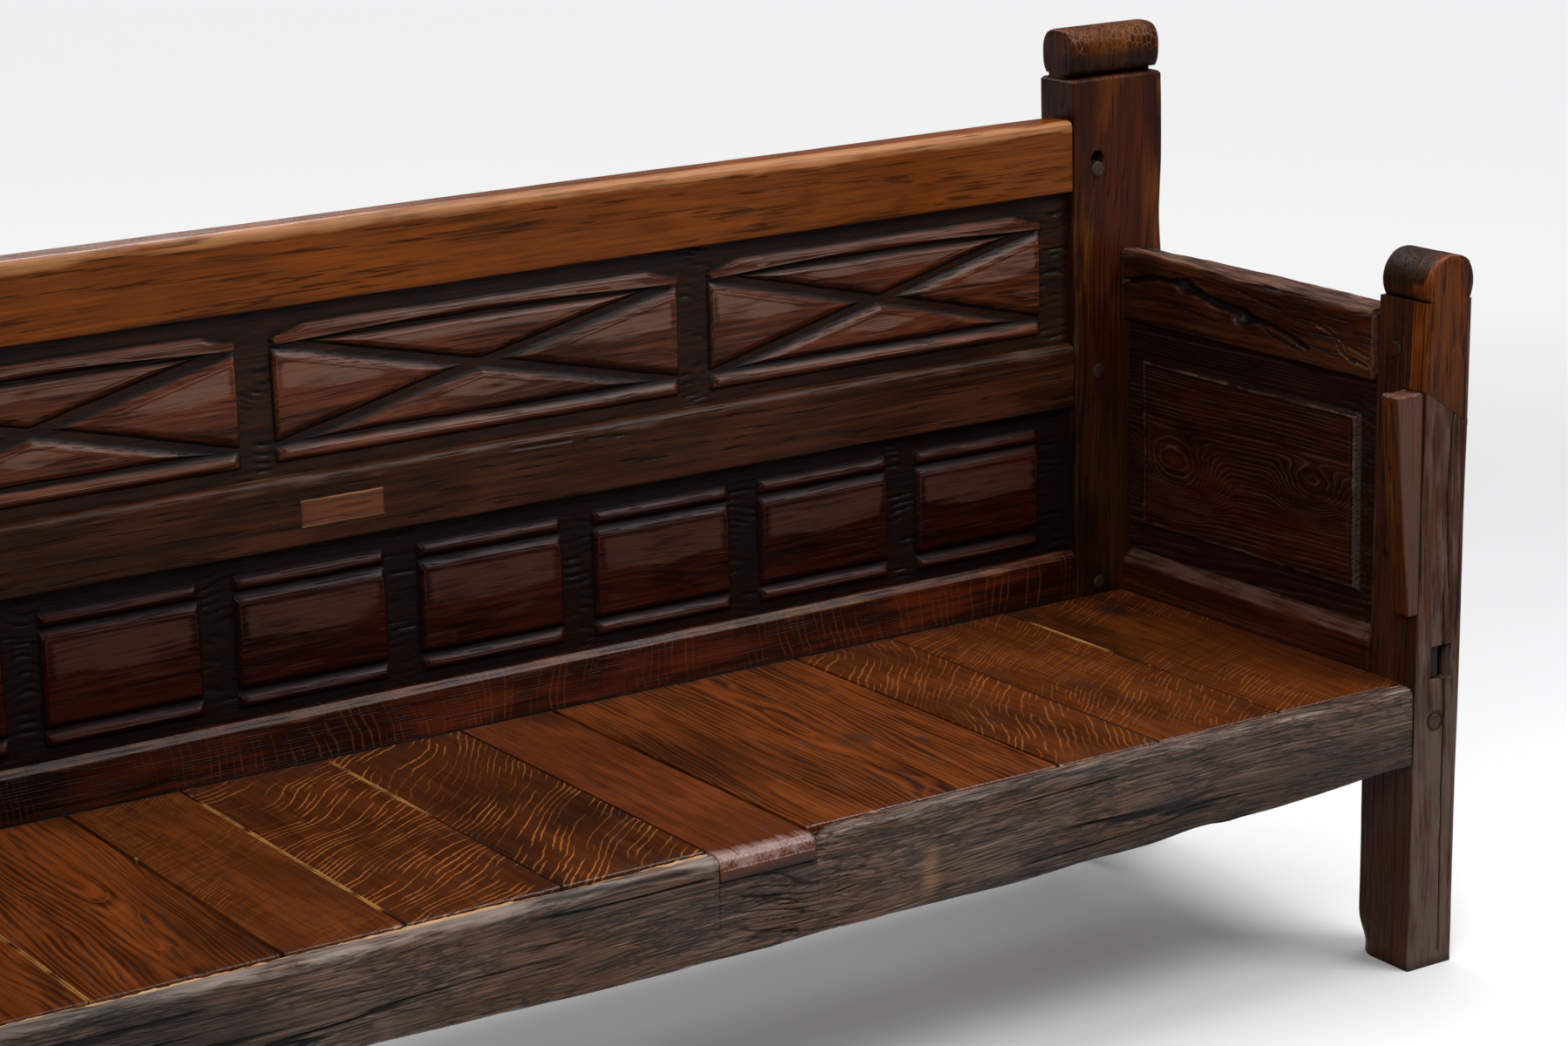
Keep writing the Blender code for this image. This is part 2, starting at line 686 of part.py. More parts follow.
def back_rail(rail, material_name):
    """A long rail of the back, tenoned into both back posts."""
    low, top = BACK_RAIL_LEVELS[rail]
    name = "back_rail_" + rail
    shoulder = HALF_INNER - GAP
    body = prism(name, back_rail_outline(rail), "X", -shoulder, shoulder)
    if rail != "bottom":
        cut_out(body, box(name + "_groove_under", groove_bounds(low, up=False)))
    if rail != "top":
        cut_out(body, box(name + "_groove_over", groove_bounds(top, up=True)))
    if rail == "bottom":
        reach = HALF_INNER + SPILL
        seat_slot = (
            -reach,
            reach,
            BACK_PLANE - SPILL,
            BACK_PLANE + SEAT_TONGUE,
            SEAT_UNDER,
            SEAT_TONGUE_TOP,
        )
        cut_out(body, box(name + "_seat_groove", grown(seat_slot)))
    for side in (1, -1):
        tenon = box(name + "_tenon_" + side_name(side), back_tenon(side, low, top))
        join_on(body, tenon)
        hole = back_peg(name + "_peg_hole_" + side_name(side), side, BACK_PEG_LEVELS[rail], GAP)
        cut_out(body, hole)
    return as_part(body, material_name)


def patch_bounds():
    """Bounds of the light patch let into the middle rail's face."""
    right = HALF_INNER - PATCH_FROM_RIGHT
    low = MID_RAIL_LOW + PATCH_FROM_BOTTOM
    return (
        right - PATCH_LENGTH,
        right,
        BACK_PLANE,
        BACK_PLANE + PATCH_DEPTH,
        low,
        low + PATCH_HEIGHT,
    )


def carve(name, outline, board_face):
    """A raised flat with bevelled edges, rooted in the board's face."""
    front = board_face - CARVING_RELIEF
    raised = prism(name, outline, "Y", front, board_face + CARVING_ROOT)
    shape = bmesh.new()
    shape.from_mesh(raised.data)
    turned = raised.matrix_world
    rim = [
        edge
        for edge in shape.edges
        if all(abs((turned @ vert.co).y - front) < GAP for vert in edge.verts)
    ]
    bmesh.ops.bevel(
        shape, geom=rim, offset=CARVING_BEVEL, offset_type="OFFSET", segments=1, affect="EDGES"
    )
    bmesh.ops.remove_doubles(shape, verts=shape.verts, dist=MERGE_DISTANCE)
    shape.to_mesh(raised.data)
    shape.free()
    return raised


def rectangle(x0, x1, z0, z1):
    """A rectangle's corners in order."""
    return [(x0, z0), (x1, z0), (x1, z1), (x0, z1)]


def carved_board(name, low, top):
    """A plain board that fills an opening and enters its grooves on all sides."""
    reach = HALF_INNER + PANEL_GROOVE - GAP
    bounds = (
        -reach,
        reach,
        BOARD_FRONT,
        BOARD_BACK,
        low - PANEL_GROOVE + GAP,
        top + PANEL_GROOVE - GAP,
    )
    return box(name, bounds)


def lower_board():
    """The lower carved board: a row of square fields, each between two bars."""
    low, top = BOTTOM_RAIL_TOP, MID_RAIL_LOW
    board = carved_board("carved_board_lower", low, top)
    span = INNER_LENGTH - 2 * FIELD_END_MARGIN
    width = (span - (FIELD_COUNT - 1) * FIELD_GAP) / FIELD_COUNT
    bar_low = low + LOWER_BAR_BOTTOM
    field_low = bar_low + LOWER_BAR_HEIGHT + LOWER_BAR_GAP
    bar_top = top - LOWER_BAR_TOP
    field_top = bar_top - LOWER_BAR_HEIGHT - LOWER_BAR_GAP
    for index in range(FIELD_COUNT):
        x0 = -HALF_INNER + FIELD_END_MARGIN + index * (width + FIELD_GAP)
        x1 = x0 + width
        tag = "field_%d" % (index + 1)
        join_on(
            board,
            carve(tag, rectangle(x0, x1, field_low, field_top), BOARD_FRONT),
            carve(tag + "_bar_low", rectangle(x0, x1, bar_low, bar_low + LOWER_BAR_HEIGHT), BOARD_FRONT),
            carve(tag + "_bar_top", rectangle(x0, x1, bar_top - LOWER_BAR_HEIGHT, bar_top), BOARD_FRONT),
        )
    return as_part(board, "carved_board_oak")


def saltire_spans():
    """The left and right edge of each of the three panels in the upper board."""
    half_middle = SALTIRE_MIDDLE_WIDTH / 2
    inner = half_middle + SALTIRE_GAP
    outer = HALF_INNER - SALTIRE_END_MARGIN
    return [(-outer, -inner), (-half_middle, half_middle), (inner, outer)]


def saltire_outlines(x0, x1, z0, z1):
    """Four triangles whose grooves between them cross as an X."""
    xc = (x0 + x1) / 2
    zc = (z0 + z1) / 2
    return {
        "left": [(x0, z0), (xc - SIDE_APEX_INSET, zc), (x0, z1)],
        "right": [(x1, z0), (x1, z1), (xc + SIDE_APEX_INSET, zc)],
        "top": [(x0 + TOP_TIP_INSET, z1), (xc, zc + TOP_APEX_INSET), (x1 - TOP_TIP_INSET, z1)],
        "bottom": [(x0 + TOP_TIP_INSET, z0), (x1 - TOP_TIP_INSET, z0), (xc, zc - TOP_APEX_INSET)],
    }


def upper_board():
    """The upper carved board: three panels with an X of grooves, each between two bars."""
    low, top = MID_RAIL_TOP, TOP_RAIL_LOW
    board = carved_board("carved_board_upper", low, top)
    bar_low = low + UPPER_BAR_BOTTOM
    z0 = bar_low + UPPER_BAR_HEIGHT + UPPER_BAR_GAP
    bar_top = top - UPPER_BAR_TOP
    z1 = bar_top - UPPER_BAR_HEIGHT - UPPER_BAR_GAP
    for index, (x0, x1) in enumerate(saltire_spans()):
        tag = "panel_%d" % (index + 1)
        for part, outline in saltire_outlines(x0, x1, z0, z1).items():
            join_on(board, carve(tag + "_" + part, outline, BOARD_FRONT))
        bar_under = rectangle(x0, x1, bar_low, bar_low + UPPER_BAR_HEIGHT)
        join_on(board, carve(tag + "_bar_low", bar_under, BOARD_FRONT))
        foot = bar_top - UPPER_BAR_HEIGHT
        knee = foot + UPPER_BAR_HEIGHT / 2
        tapered = [
            (x0, foot),
            (x1, foot),
            (x1, knee),
            (x1 - UPPER_BAR_TIP, bar_top),
            (x0 + UPPER_BAR_TIP, bar_top),
            (x0, knee),
        ]
        join_on(board, carve(tag + "_bar_top", tapered, BOARD_FRONT))
    return as_part(board, "carved_board_oak")


def seat_edges():
    """Places on X where the seat boards begin and end."""
    length = 2 * FRONT_INNER_X
    scale = length / sum(SEAT_BOARD_WIDTHS)
    edges = [-FRONT_INNER_X]
    for width in SEAT_BOARD_WIDTHS:
        edges.append(edges[-1] + width * scale)
    return edges


def seat_board(index, left, right):
    """One board of the seat, tongued into the back rail and laid on the front rail's ledge."""
    x0 = left + GAP
    x1 = right - GAP
    y0 = LEDGE_FRONT + GAP
    shoulder = BACK_PLANE - GAP
    y1 = BACK_PLANE + SEAT_TONGUE - GAP
    name = "seat_board_%02d" % (index + 1)
    if index == NOSE_BOARD:
        arc = corner_arc(
            (FRONT_FACE + NOSE_ROUNDING, SEAT_TOP - NOSE_ROUNDING), NOSE_ROUNDING, 180, 90
        )
        outline = [(FRONT_FACE, SEAT_UNDER)] + arc
        outline += [
            (shoulder, SEAT_TOP),
            (shoulder, SEAT_TONGUE_TOP),
            (y1, SEAT_TONGUE_TOP),
            (y1, SEAT_UNDER),
        ]
        board = prism(name, outline, "X", x0, x1)
        return as_part(board, "nose_board_oak")
    board = box(name, (x0, x1, y0, y1, SEAT_UNDER, SEAT_TOP))
    ease(board, SEAT_EDGE_EASE)
    over_tongue = (
        x0 - SPILL,
        x1 + SPILL,
        shoulder,
        y1 + SPILL,
        SEAT_TONGUE_TOP,
        SEAT_TOP + SPILL,
    )
    cut_out(board, box(name + "_tongue_shoulder", over_tongue))
    for side in (1, -1):
        if side * (right if side > 0 else left) > HALF_INNER:
            notch = sided(
                side,
                HALF_INNER - GAP,
                FRONT_INNER_X + SPILL,
                (
                    BACK_PLANE - GAP,
                    BACK_PLANE + SPILL + SEAT_TONGUE,
                    SEAT_UNDER - SPILL,
                    SEAT_TOP + SPILL,
                ),
            )
            cut_out(board, box(name + "_post_notch", notch))
    return as_part(board, "seat_board_oak")


def front_rail():
    """The thick front rail, with a ledge for the boards and a notch for the nosed one."""
    arc = corner_arc(
        (FRONT_FACE + FRONT_RAIL_ROUNDING, SEAT_TOP - FRONT_RAIL_ROUNDING),
        FRONT_RAIL_ROUNDING,
        180,
        90,
    )
    ledge = SEAT_UNDER - GAP
    outline = [(FRONT_FACE, FRONT_RAIL_LOW)] + arc
    outline += [
        (LEDGE_FRONT, SEAT_TOP),
        (LEDGE_FRONT, ledge),
        (FRONT_RAIL_BACK, ledge),
        (FRONT_RAIL_BACK, FRONT_RAIL_LOW),
    ]
    shoulder = FRONT_INNER_X - GAP
    rail = prism("front_rail", outline, "X", -shoulder, shoulder)
    edges = seat_edges()
    notch = (
        edges[NOSE_BOARD],
        edges[NOSE_BOARD + 1],
        FRONT_FACE - SPILL,
        LEDGE_FRONT + SPILL,
        ledge,
        SEAT_TOP + SPILL,
    )
    cut_out(rail, box("front_rail_nose_notch", notch))
    for side in (1, -1):
        join_on(rail, box("front_rail_tenon_" + side_name(side), front_tenon(side)))
        cut_out(rail, front_peg("front_rail_peg_hole_" + side_name(side), side, GAP))
    return as_part(rail, "weathered_rail_oak")


def mirrored(outline, side):
    """Reflects an outline's points to the bench's left end when the side is -1."""
    return [(side * x, z) for x, z in outline]


def arm_panel_groove(side, low, top):
    """Bounds of the groove that an arm rail has for the end panel."""
    return grown(
        sided(
            side,
            FRONT_INNER_X + ARM_PANEL_RECESS,
            FRONT_INNER_X + ARM_PANEL_RECESS + ARM_PANEL_THICKNESS,
            (FRONT_POST_BACK - SPILL, BACK_PLANE + SPILL, low, top),
        )
    )


def arm_rail_body(name, side, outline, low, top, front_reach):
    """A rail of the bench's end with a tenon at both ends."""
    start = FRONT_POST_BACK + GAP
    end = BACK_PLANE - GAP
    body = prism(name, mirrored(outline, side), "Y", start, end)
    back = arm_tenon(side, end - TENON_ROOT, BACK_PLANE + ARM_TENON_LENGTH, low, top)
    front = arm_tenon(side, front_reach, start + TENON_ROOT, low, top)
    return body, box(name + "_back_tenon", back), box(name + "_front_tenon", front)


def arm_top_rail(side):
    """The arm: the top rail of the bench's end."""
    name = "arm_rail_" + side_name(side)
    inner = FRONT_INNER_X
    outer = FRONT_INNER_X + ARM_RAIL_THICKNESS
    radius = ARM_RAIL_ROUNDING
    outline = [(inner, ARM_RAIL_LOW)]
    outline += corner_arc((inner + radius, ARM_TOP - radius), radius, 180, 90)
    outline += corner_arc((outer - radius, ARM_TOP - radius), radius, 90, 0)
    outline += [(outer, ARM_RAIL_LOW)]
    reach = FRONT_POST_BACK - FRONT_TENON_LENGTH
    body, back, front = arm_rail_body(name, side, outline, ARM_TENON_LOW, ARM_TENON_TOP, reach)
    groove = arm_panel_groove(side, ARM_RAIL_LOW - SPILL, ARM_RAIL_LOW + ARM_PANEL_GROOVE)
    cut_out(body, box(name + "_groove", groove))
    join_on(body, back, front)
    cut_out(body, arm_front_peg(name + "_front_peg_hole", side, GAP))
    cut_out(body, arm_back_peg(name + "_back_peg_hole", side, ARM_PEG_LEVELS["top"], GAP))
    return as_part(body, "arm_rail_oak")


def arm_sill(side):
    """The bottom rail of the bench's end, with a broad chamfer towards the seat."""
    name = "arm_sill_" + side_name(side)
    inner = FRONT_INNER_X
    outer = FRONT_INNER_X + ARM_RAIL_THICKNESS
    outline = [
        (inner, ARM_SILL_LOW),
        (inner, ARM_SILL_TOP - ARM_SILL_CHAMFER),
        (inner + ARM_SILL_CHAMFER, ARM_SILL_TOP),
        (outer, ARM_SILL_TOP),
        (outer, ARM_SILL_LOW),
    ]
    reach = FRONT_FACE + SILL_TENON_SHORTFALL
    body, back, front = arm_rail_body(name, side, outline, SILL_TENON_LOW, SILL_TENON_TOP, reach)
    groove = arm_panel_groove(side, ARM_SILL_TOP - ARM_PANEL_GROOVE, ARM_SILL_TOP + SPILL)
    cut_out(body, box(name + "_groove", groove))
    join_on(body, back, front)
    cut_out(body, arm_back_peg(name + "_back_peg_hole", side, ARM_PEG_LEVELS["sill"], GAP))
    return as_part(body, "arm_rail_oak")


def arm_panel(side):
    """The end's panel, held in grooves, with a raised field towards the seat."""
    name = "arm_panel_" + side_name(side)
    near = FRONT_INNER_X + ARM_PANEL_RECESS
    edge = ARM_PANEL_GROOVE - GAP
    bounds = sided(
        side,
        near,
        near + ARM_PANEL_THICKNESS,
        (
            FRONT_POST_BACK - edge,
            BACK_PLANE + edge,
            ARM_SILL_TOP - edge,
            ARM_RAIL_LOW + edge,
        ),
    )
    panel = box(name, bounds)
    x0, x1 = along_x(side, near - CARVING_RELIEF, near + CARVING_ROOT)
    field = prism(
        name + "_field",
        [
            (FRONT_POST_BACK + ARM_FIELD_MARGIN_FRONT, ARM_SILL_TOP + ARM_FIELD_MARGIN_BOTTOM),
            (BACK_PLANE - ARM_FIELD_MARGIN_BACK, ARM_SILL_TOP + ARM_FIELD_MARGIN_BOTTOM),
            (BACK_PLANE - ARM_FIELD_MARGIN_BACK, ARM_RAIL_LOW - ARM_FIELD_MARGIN_TOP),
            (FRONT_POST_BACK + ARM_FIELD_MARGIN_FRONT, ARM_RAIL_LOW - ARM_FIELD_MARGIN_TOP),
        ],
        "X",
        x0,
        x1,
    )
    ease(field, ARM_FIELD_BEVEL)
    join_on(panel, field)
    return as_part(panel, "arm_panel_oak")


def build():
    """Makes every piece of the bench."""
    for side in (1, -1):
        back_post(side)
        front_post(side)
        arm_top_rail(side)
        arm_sill(side)
        arm_panel(side)
        end = side_name(side)
        for rail, level in BACK_PEG_LEVELS.items():
            as_part(back_peg("back_peg_%s_%s" % (rail, end), side, level), "peg_oak")
        as_part(front_peg("front_peg_" + end, side), "peg_oak")
        as_part(arm_front_peg("arm_front_peg_" + end, side), "peg_oak")
        for rail, level in ARM_PEG_LEVELS.items():
            peg = arm_back_peg("arm_back_peg_%s_%s" % (rail, end), side, level)
            as_part(peg, "peg_oak")
    post_repair()
    post_wedge()
    back_rail("top", "golden_rail_oak")
    mid_rail = back_rail("mid", "dark_rail_oak")
    cut_out(mid_rail, box("mid_rail_patch_seat", grown(patch_bounds())))
    as_part(box("mid_rail_patch", patch_bounds()), "repair_oak")
    back_rail("bottom", "skirting_oak")
    lower_board()
    upper_board()
    front_rail()
    edges = seat_edges()
    for index, (left, right) in enumerate(zip(edges, edges[1:])):
        seat_board(index, left, right)


build()
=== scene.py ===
"""Worn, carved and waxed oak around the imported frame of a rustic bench, with its stage.

The file is laid out as a Blender add-on and is run as a script. Metres, +Z up, +X to the right
seen from in front, -Y the front.
"""

import math
from types import SimpleNamespace

import bmesh
import bpy
import numpy as np
from bpy.props import FloatProperty, FloatVectorProperty, PointerProperty
from mathutils import Euler, Matrix, Vector


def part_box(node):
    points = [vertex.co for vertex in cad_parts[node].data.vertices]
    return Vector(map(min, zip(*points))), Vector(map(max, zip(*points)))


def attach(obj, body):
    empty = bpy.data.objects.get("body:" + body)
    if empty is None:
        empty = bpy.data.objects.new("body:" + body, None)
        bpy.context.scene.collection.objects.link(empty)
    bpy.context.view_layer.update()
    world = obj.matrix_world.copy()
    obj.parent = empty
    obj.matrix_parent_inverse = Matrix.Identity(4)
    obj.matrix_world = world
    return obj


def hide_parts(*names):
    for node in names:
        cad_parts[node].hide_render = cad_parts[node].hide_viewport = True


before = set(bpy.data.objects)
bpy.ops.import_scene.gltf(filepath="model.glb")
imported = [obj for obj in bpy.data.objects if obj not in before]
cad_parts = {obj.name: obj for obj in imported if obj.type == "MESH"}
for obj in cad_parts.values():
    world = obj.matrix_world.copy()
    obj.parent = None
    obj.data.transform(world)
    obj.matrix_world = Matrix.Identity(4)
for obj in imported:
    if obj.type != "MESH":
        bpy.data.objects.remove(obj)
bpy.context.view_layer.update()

bl_info = {
    "name": "Rustic Bench",
    "version": (1, 0, 0),
    "blender": (4, 5, 0),
    "location": "View3D > Sidebar > Bench",
    "description": "Builds the worn oak of a carved bench and its stage",
    "category": "Object",
}

ENDS = {"right": 1, "left": -1}
CLOSE = 0.0003
ARC_POINTS = 5
MERGED = 0.000002


def hashed(cells, seed):
    """A number from 0 to 1 for each whole cell: its coordinates multiplied, mixed and cut short."""
    x, y, z = (cells[..., k].astype(np.int64) for k in range(3))
    mixed = (x * 374761393 + y * 668265263 + z * 1440662683 + seed * 974711) & 0xFFFFFFFF
    mixed = ((mixed ^ (mixed >> 13)) * 1274126177) & 0xFFFFFFFF
    mixed = mixed ^ (mixed >> 16)
    return (mixed & 0xFFFFFF) / 16777215.0


def smooth_noise(points, seed):
    """Noise from -1 to 1: the hashed corners of a point's cell, blended by 3t^2 - 2t^3."""
    base = np.floor(points)
    part = points - base
    part = part * part * (3 - 2 * part)
    total = 0.0
    for corner in np.ndindex(2, 2, 2):
        share = np.where(np.array(corner) == 1, part, 1 - part).prod(axis=-1)
        total = total + share * hashed(base + corner, seed)
    return 2 * total - 1


def rough(points, per_metre, seed, layers=2):
    """Layers of noise, each twice as fine and half as strong, with lumps per metre on each axis."""
    total, strength, reach = 0.0, 1.0, 0.0
    places = points * np.asarray(per_metre, float)
    for layer in range(layers):
        total = total + strength * smooth_noise(places * 2 ** layer, seed + 17 * layer)
        reach += strength
        strength /= 2
    return total / reach


def limited(values):
    """Values held between 0 and 1."""
    return np.clip(values, 0, 1)


def most(*masks):
    """The largest of several masks at each point."""
    return np.maximum.reduce(masks)


def step(low, high, values):
    """Rises from 0 at low to 1 at high, by 3t^2 - 2t^3."""
    share = limited((values - low) / (high - low))
    return share * share * (3 - 2 * share)


def bump(middle, width, values):
    """A rounded hump of height 1: a bell that falls away over the given width."""
    return np.exp(-((values - middle) / width) ** 2)


def within(low, high, soft, values):
    """1 between low and high and 0 outside, with both ends softened to each side."""
    return step(low - soft, low + soft, values) * step(high + soft, high - soft, values)


def ridged(values, sharpness):
    """Ridged noise: 1 - sharpness |n|, at 1 where the noise crosses its middle, and cut off at 0."""
    return limited(1 - np.abs(values) * sharpness)


def quarter_round(share, radius):
    """How far a quarter circle has fallen back at a share s of its reach: r (1 - sqrt(1 - s^2))."""
    return radius * (1 - np.sqrt(1 - limited(share) ** 2))


def far_from(path, u, v):
    """Each point's distance to a bent line: the least over its straight parts."""
    least = np.full(np.shape(u), np.inf)
    for (u0, v0), (u1, v1) in zip(path, path[1:]):
        du, dv = u1 - u0, v1 - v0
        share = limited(((u - u0) * du + (v - v0) * dv) / (du * du + dv * dv))
        least = np.minimum(least, np.hypot(u - u0 - share * du, v - v0 - share * dv))
    return least


def spread(start, end, pitch, fine=()):
    """Places from start to end at a pitch, with closer ones inside each (low, high, pitch)."""
    places = [np.linspace(start, end, max(2, int(round(abs(end - start) / pitch)) + 1))]
    for low, high, close in fine:
        low, high = max(low, min(start, end)), min(high, max(start, end))
        if high > low:
            places.append(np.arange(low, high, close))
    merged = np.unique(np.round(np.concatenate(places), 6))
    keep = np.concatenate(([True], np.diff(merged) > 0.0002))
    return merged[keep]


def shares(places):
    """The inner places of a row as fractions of the way along it."""
    return (places[1:-1] - places[0]) / (places[-1] - places[0])


def evenly(count):
    """The inner places of a row of so many at even steps, as fractions of the way along it."""
    return np.linspace(0, 1, count)[1:-1]


def on_axis(axis, values):
    """Points along an axis through the origin."""
    points = np.zeros((len(values), 3))
    points[:, "XYZ".index(axis)] = values
    return points


def coordinates(grid):
    """The x, y and z of a grid's points as they are now, also where the grid is moved later."""
    return np.moveaxis(grid, -1, 0).copy()


def loops(corners, radii, sides, flats=(), worn=None, fade=0.008):
    """Points round a polygon at every station of a sweep.

    corners is (stations, corners, 2), anticlockwise. Each corner is trimmed by its radius, with a
    parabola from one side to the next, or a straight cut where it is in flats. Each side's points
    lie at the given fractions. The second result is how worn each point is: its corner's share,
    falling by e for every fade along the sides.
    """
    count = corners.shape[1]
    ahead = np.roll(corners, -1, 1) - corners
    length = np.linalg.norm(ahead, axis=2)
    unit = ahead / np.maximum(length, 1e-9)[..., None]
    before = np.roll(unit, 1, 1)
    radius = np.minimum(np.broadcast_to(radii, length.shape), 0.49 * length)
    radius = np.minimum(radius, 0.49 * np.roll(length, 1, 1))[..., None]
    start, end = corners - before * radius, corners + unit * radius
    worn = np.ones(count) if worn is None else np.asarray(worn, float)
    along = np.linspace(0, 1, ARC_POINTS)[None, :, None]
    points, wear = [], []
    for k in range(count):
        a, c, b = start[:, k, None], corners[:, k, None], end[:, k, None]
        if k in flats:
            points.append(a + (b - a) * along)
        else:
            points.append(a * (1 - along) ** 2 + 2 * c * along * (1 - along) + b * along ** 2)
        wear.append(np.full(points[-1].shape[:2], worn[k]))
        following = (k + 1) % count
        to = start[:, following, None]
        share = np.asarray(sides[k], float)[None, :, None]
        points.append(b + (to - b) * share)
        run = np.linalg.norm(to - b, axis=2)
        near = worn[k] * np.exp(-share[..., 0] * run / fade)
        wear.append(np.maximum(near, worn[following] * np.exp(-(1 - share[..., 0]) * run / fade)))
    return np.concatenate(points, 1), np.concatenate(wear, 1)


def carried(axis, stations, flat):
    """Sets flat loops on their stations along an axis: (y, z) on X, (x, z) on Y, (x, y) on Z."""
    along = np.broadcast_to(np.asarray(stations)[:, None], flat.shape[:2])
    u, v = flat[..., 0], flat[..., 1]
    return np.stack({"X": (along, u, v), "Y": (u, along, v), "Z": (u, v, along)}[axis], axis=-1)


def outward(axis, flat):
    """Unit directions out of flat anticlockwise loops: each loop's tangent, turned to its right."""
    tangent = np.roll(flat, -1, 1) - np.roll(flat, 1, 1)
    size = np.maximum(np.linalg.norm(tangent, axis=2), 1e-9)[..., None]
    turned = np.stack((tangent[..., 1], -tangent[..., 0]), axis=-1) / size
    return carried(axis, np.zeros(len(flat)), turned)


def swept(axis, stations, flat):
    """Flat loops on their stations along an axis, and the directions out of them."""
    return carried(axis, stations, flat), outward(axis, flat)


def pushed(grid, normal, depth):
    """A grid moved along its outward directions by a depth for each point."""
    return grid + normal * depth[..., None]


def rings_faces(rows, columns, first=0):
    """Four-sided faces between neighbouring rows of closed loops."""
    i, j = np.meshgrid(np.arange(rows - 1), np.arange(columns), indexing="ij")
    following = (j + 1) % columns
    corners = (i * columns + j, i * columns + following)
    corners += ((i + 1) * columns + following, (i + 1) * columns + j)
    return np.stack(corners, axis=-1).reshape(-1, 4) + first


def tube(grid, marks):
    """A closed shell from loops: faces between the loops, and a fan to a middle point at each end."""
    rows, columns, _ = grid.shape
    middles = np.stack((grid[0].mean(0), grid[-1].mean(0)))
    points = np.concatenate((grid.reshape(-1, 3), middles))
    j = np.arange(columns)
    following = (j + 1) % columns
    top = (rows - 1) * columns
    first = np.stack((following, j, np.full(columns, rows * columns)), -1)
    last = np.stack((top + j, top + following, np.full(columns, rows * columns + 1)), -1)
    values = {}
    for key, mark in marks.items():
        mark = np.broadcast_to(mark, (rows, columns))
        values[key] = np.concatenate((mark.reshape(-1), (mark[0].mean(), mark[-1].mean())))
    return points, rings_faces(rows, columns), np.concatenate((first, last)), values


def joined(shells):
    """Several shells as one: their points in a row, with the faces' numbers moved on to match."""
    points, quads, fans, values, first = [], [], [], {}, 0
    for shell_points, shell_quads, shell_fans, marks in shells:
        points.append(shell_points)
        quads.append(shell_quads + first)
        fans.append(shell_fans + first)
        for key, mark in marks.items():
            values.setdefault(key, []).append(mark)
        first += len(shell_points)
    marks = {key: np.concatenate(parts) for key, parts in values.items()}
    return np.concatenate(points), np.concatenate(quads), np.concatenate(fans), marks


def inside_out(points, quads, fans):
    """Whether the faces point inwards: the sum of their signed volumes is below nothing."""
    faces = np.concatenate((quads[:, [0, 1, 2]], quads[:, [0, 2, 3]], fans))
    a, b, c = (points[faces[:, k]] for k in range(3))
    return np.einsum("ij,ij->i", a, np.cross(b, c)).sum() < 0


def piece(name, shells, material, replaced, crease=38):
    """Makes one object of its shells, rides it on the bench and hides the nodes it stands for."""
    parts = []
    for points, quads, fans, marks in shells:
        if inside_out(points, quads, fans):
            quads, fans = quads[:, ::-1], fans[:, ::-1]
        parts.append((points, quads, fans, marks))
    points, quads, fans, marks = joined(parts)
    mesh = bpy.data.meshes.new(name)
    mesh.vertices.add(len(points))
    mesh.vertices.foreach_set("co", points.astype(np.float32).ravel())
    mesh.loops.add(quads.size + fans.size)
    mesh.loops.foreach_set("vertex_index", np.concatenate((quads.ravel(), fans.ravel())))
    totals = np.concatenate((np.full(len(quads), 4), np.full(len(fans), 3)))
    mesh.polygons.add(len(totals))
    mesh.polygons.foreach_set("loop_start", np.concatenate(([0], np.cumsum(totals)[:-1])))
    mesh.polygons.foreach_set("loop_total", totals)
    for key, mark in marks.items():
        layer = mesh.attributes.new(key, "FLOAT", "POINT")
        layer.data.foreach_set("value", np.asarray(mark, np.float32))
    mesh.update(calc_edges=True)
    shape = bmesh.new()
    shape.from_mesh(mesh)
    bmesh.ops.remove_doubles(shape, verts=shape.verts, dist=MERGED)
    bmesh.ops.dissolve_degenerate(shape, edges=shape.edges, dist=MERGED)
    shape.to_mesh(mesh)
    shape.free()
    mesh.shade_smooth()
    mesh.set_sharp_from_angle(angle=math.radians(crease))
    mesh.materials.append(material)
    made = bpy.data.objects.new(name, mesh)
    bpy.context.scene.collection.objects.link(made)
    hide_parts(*replaced)
    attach(made, "root")
    return made


def rectangle(x0, x1, z0, z1):
    """A rectangle's corners in order."""
    return [(x0, z0), (x1, z0), (x1, z1), (x0, z1)]


def outlined(*corners):
    """The loops of corners that are given one by one, each as its u and v at every station."""
    return np.stack([np.stack(pair, -1) for pair in corners], axis=1)


def box_corners(count, u0, u1, v0, v1):
    """A rectangle's corners at every station, anticlockwise from its low corner."""
    u0, u1, v0, v1 = (np.broadcast_to(value, (count,)) for value in (u0, u1, v0, v1))
    return outlined((u0, v0), (u1, v0), (u1, v1), (u0, v1))


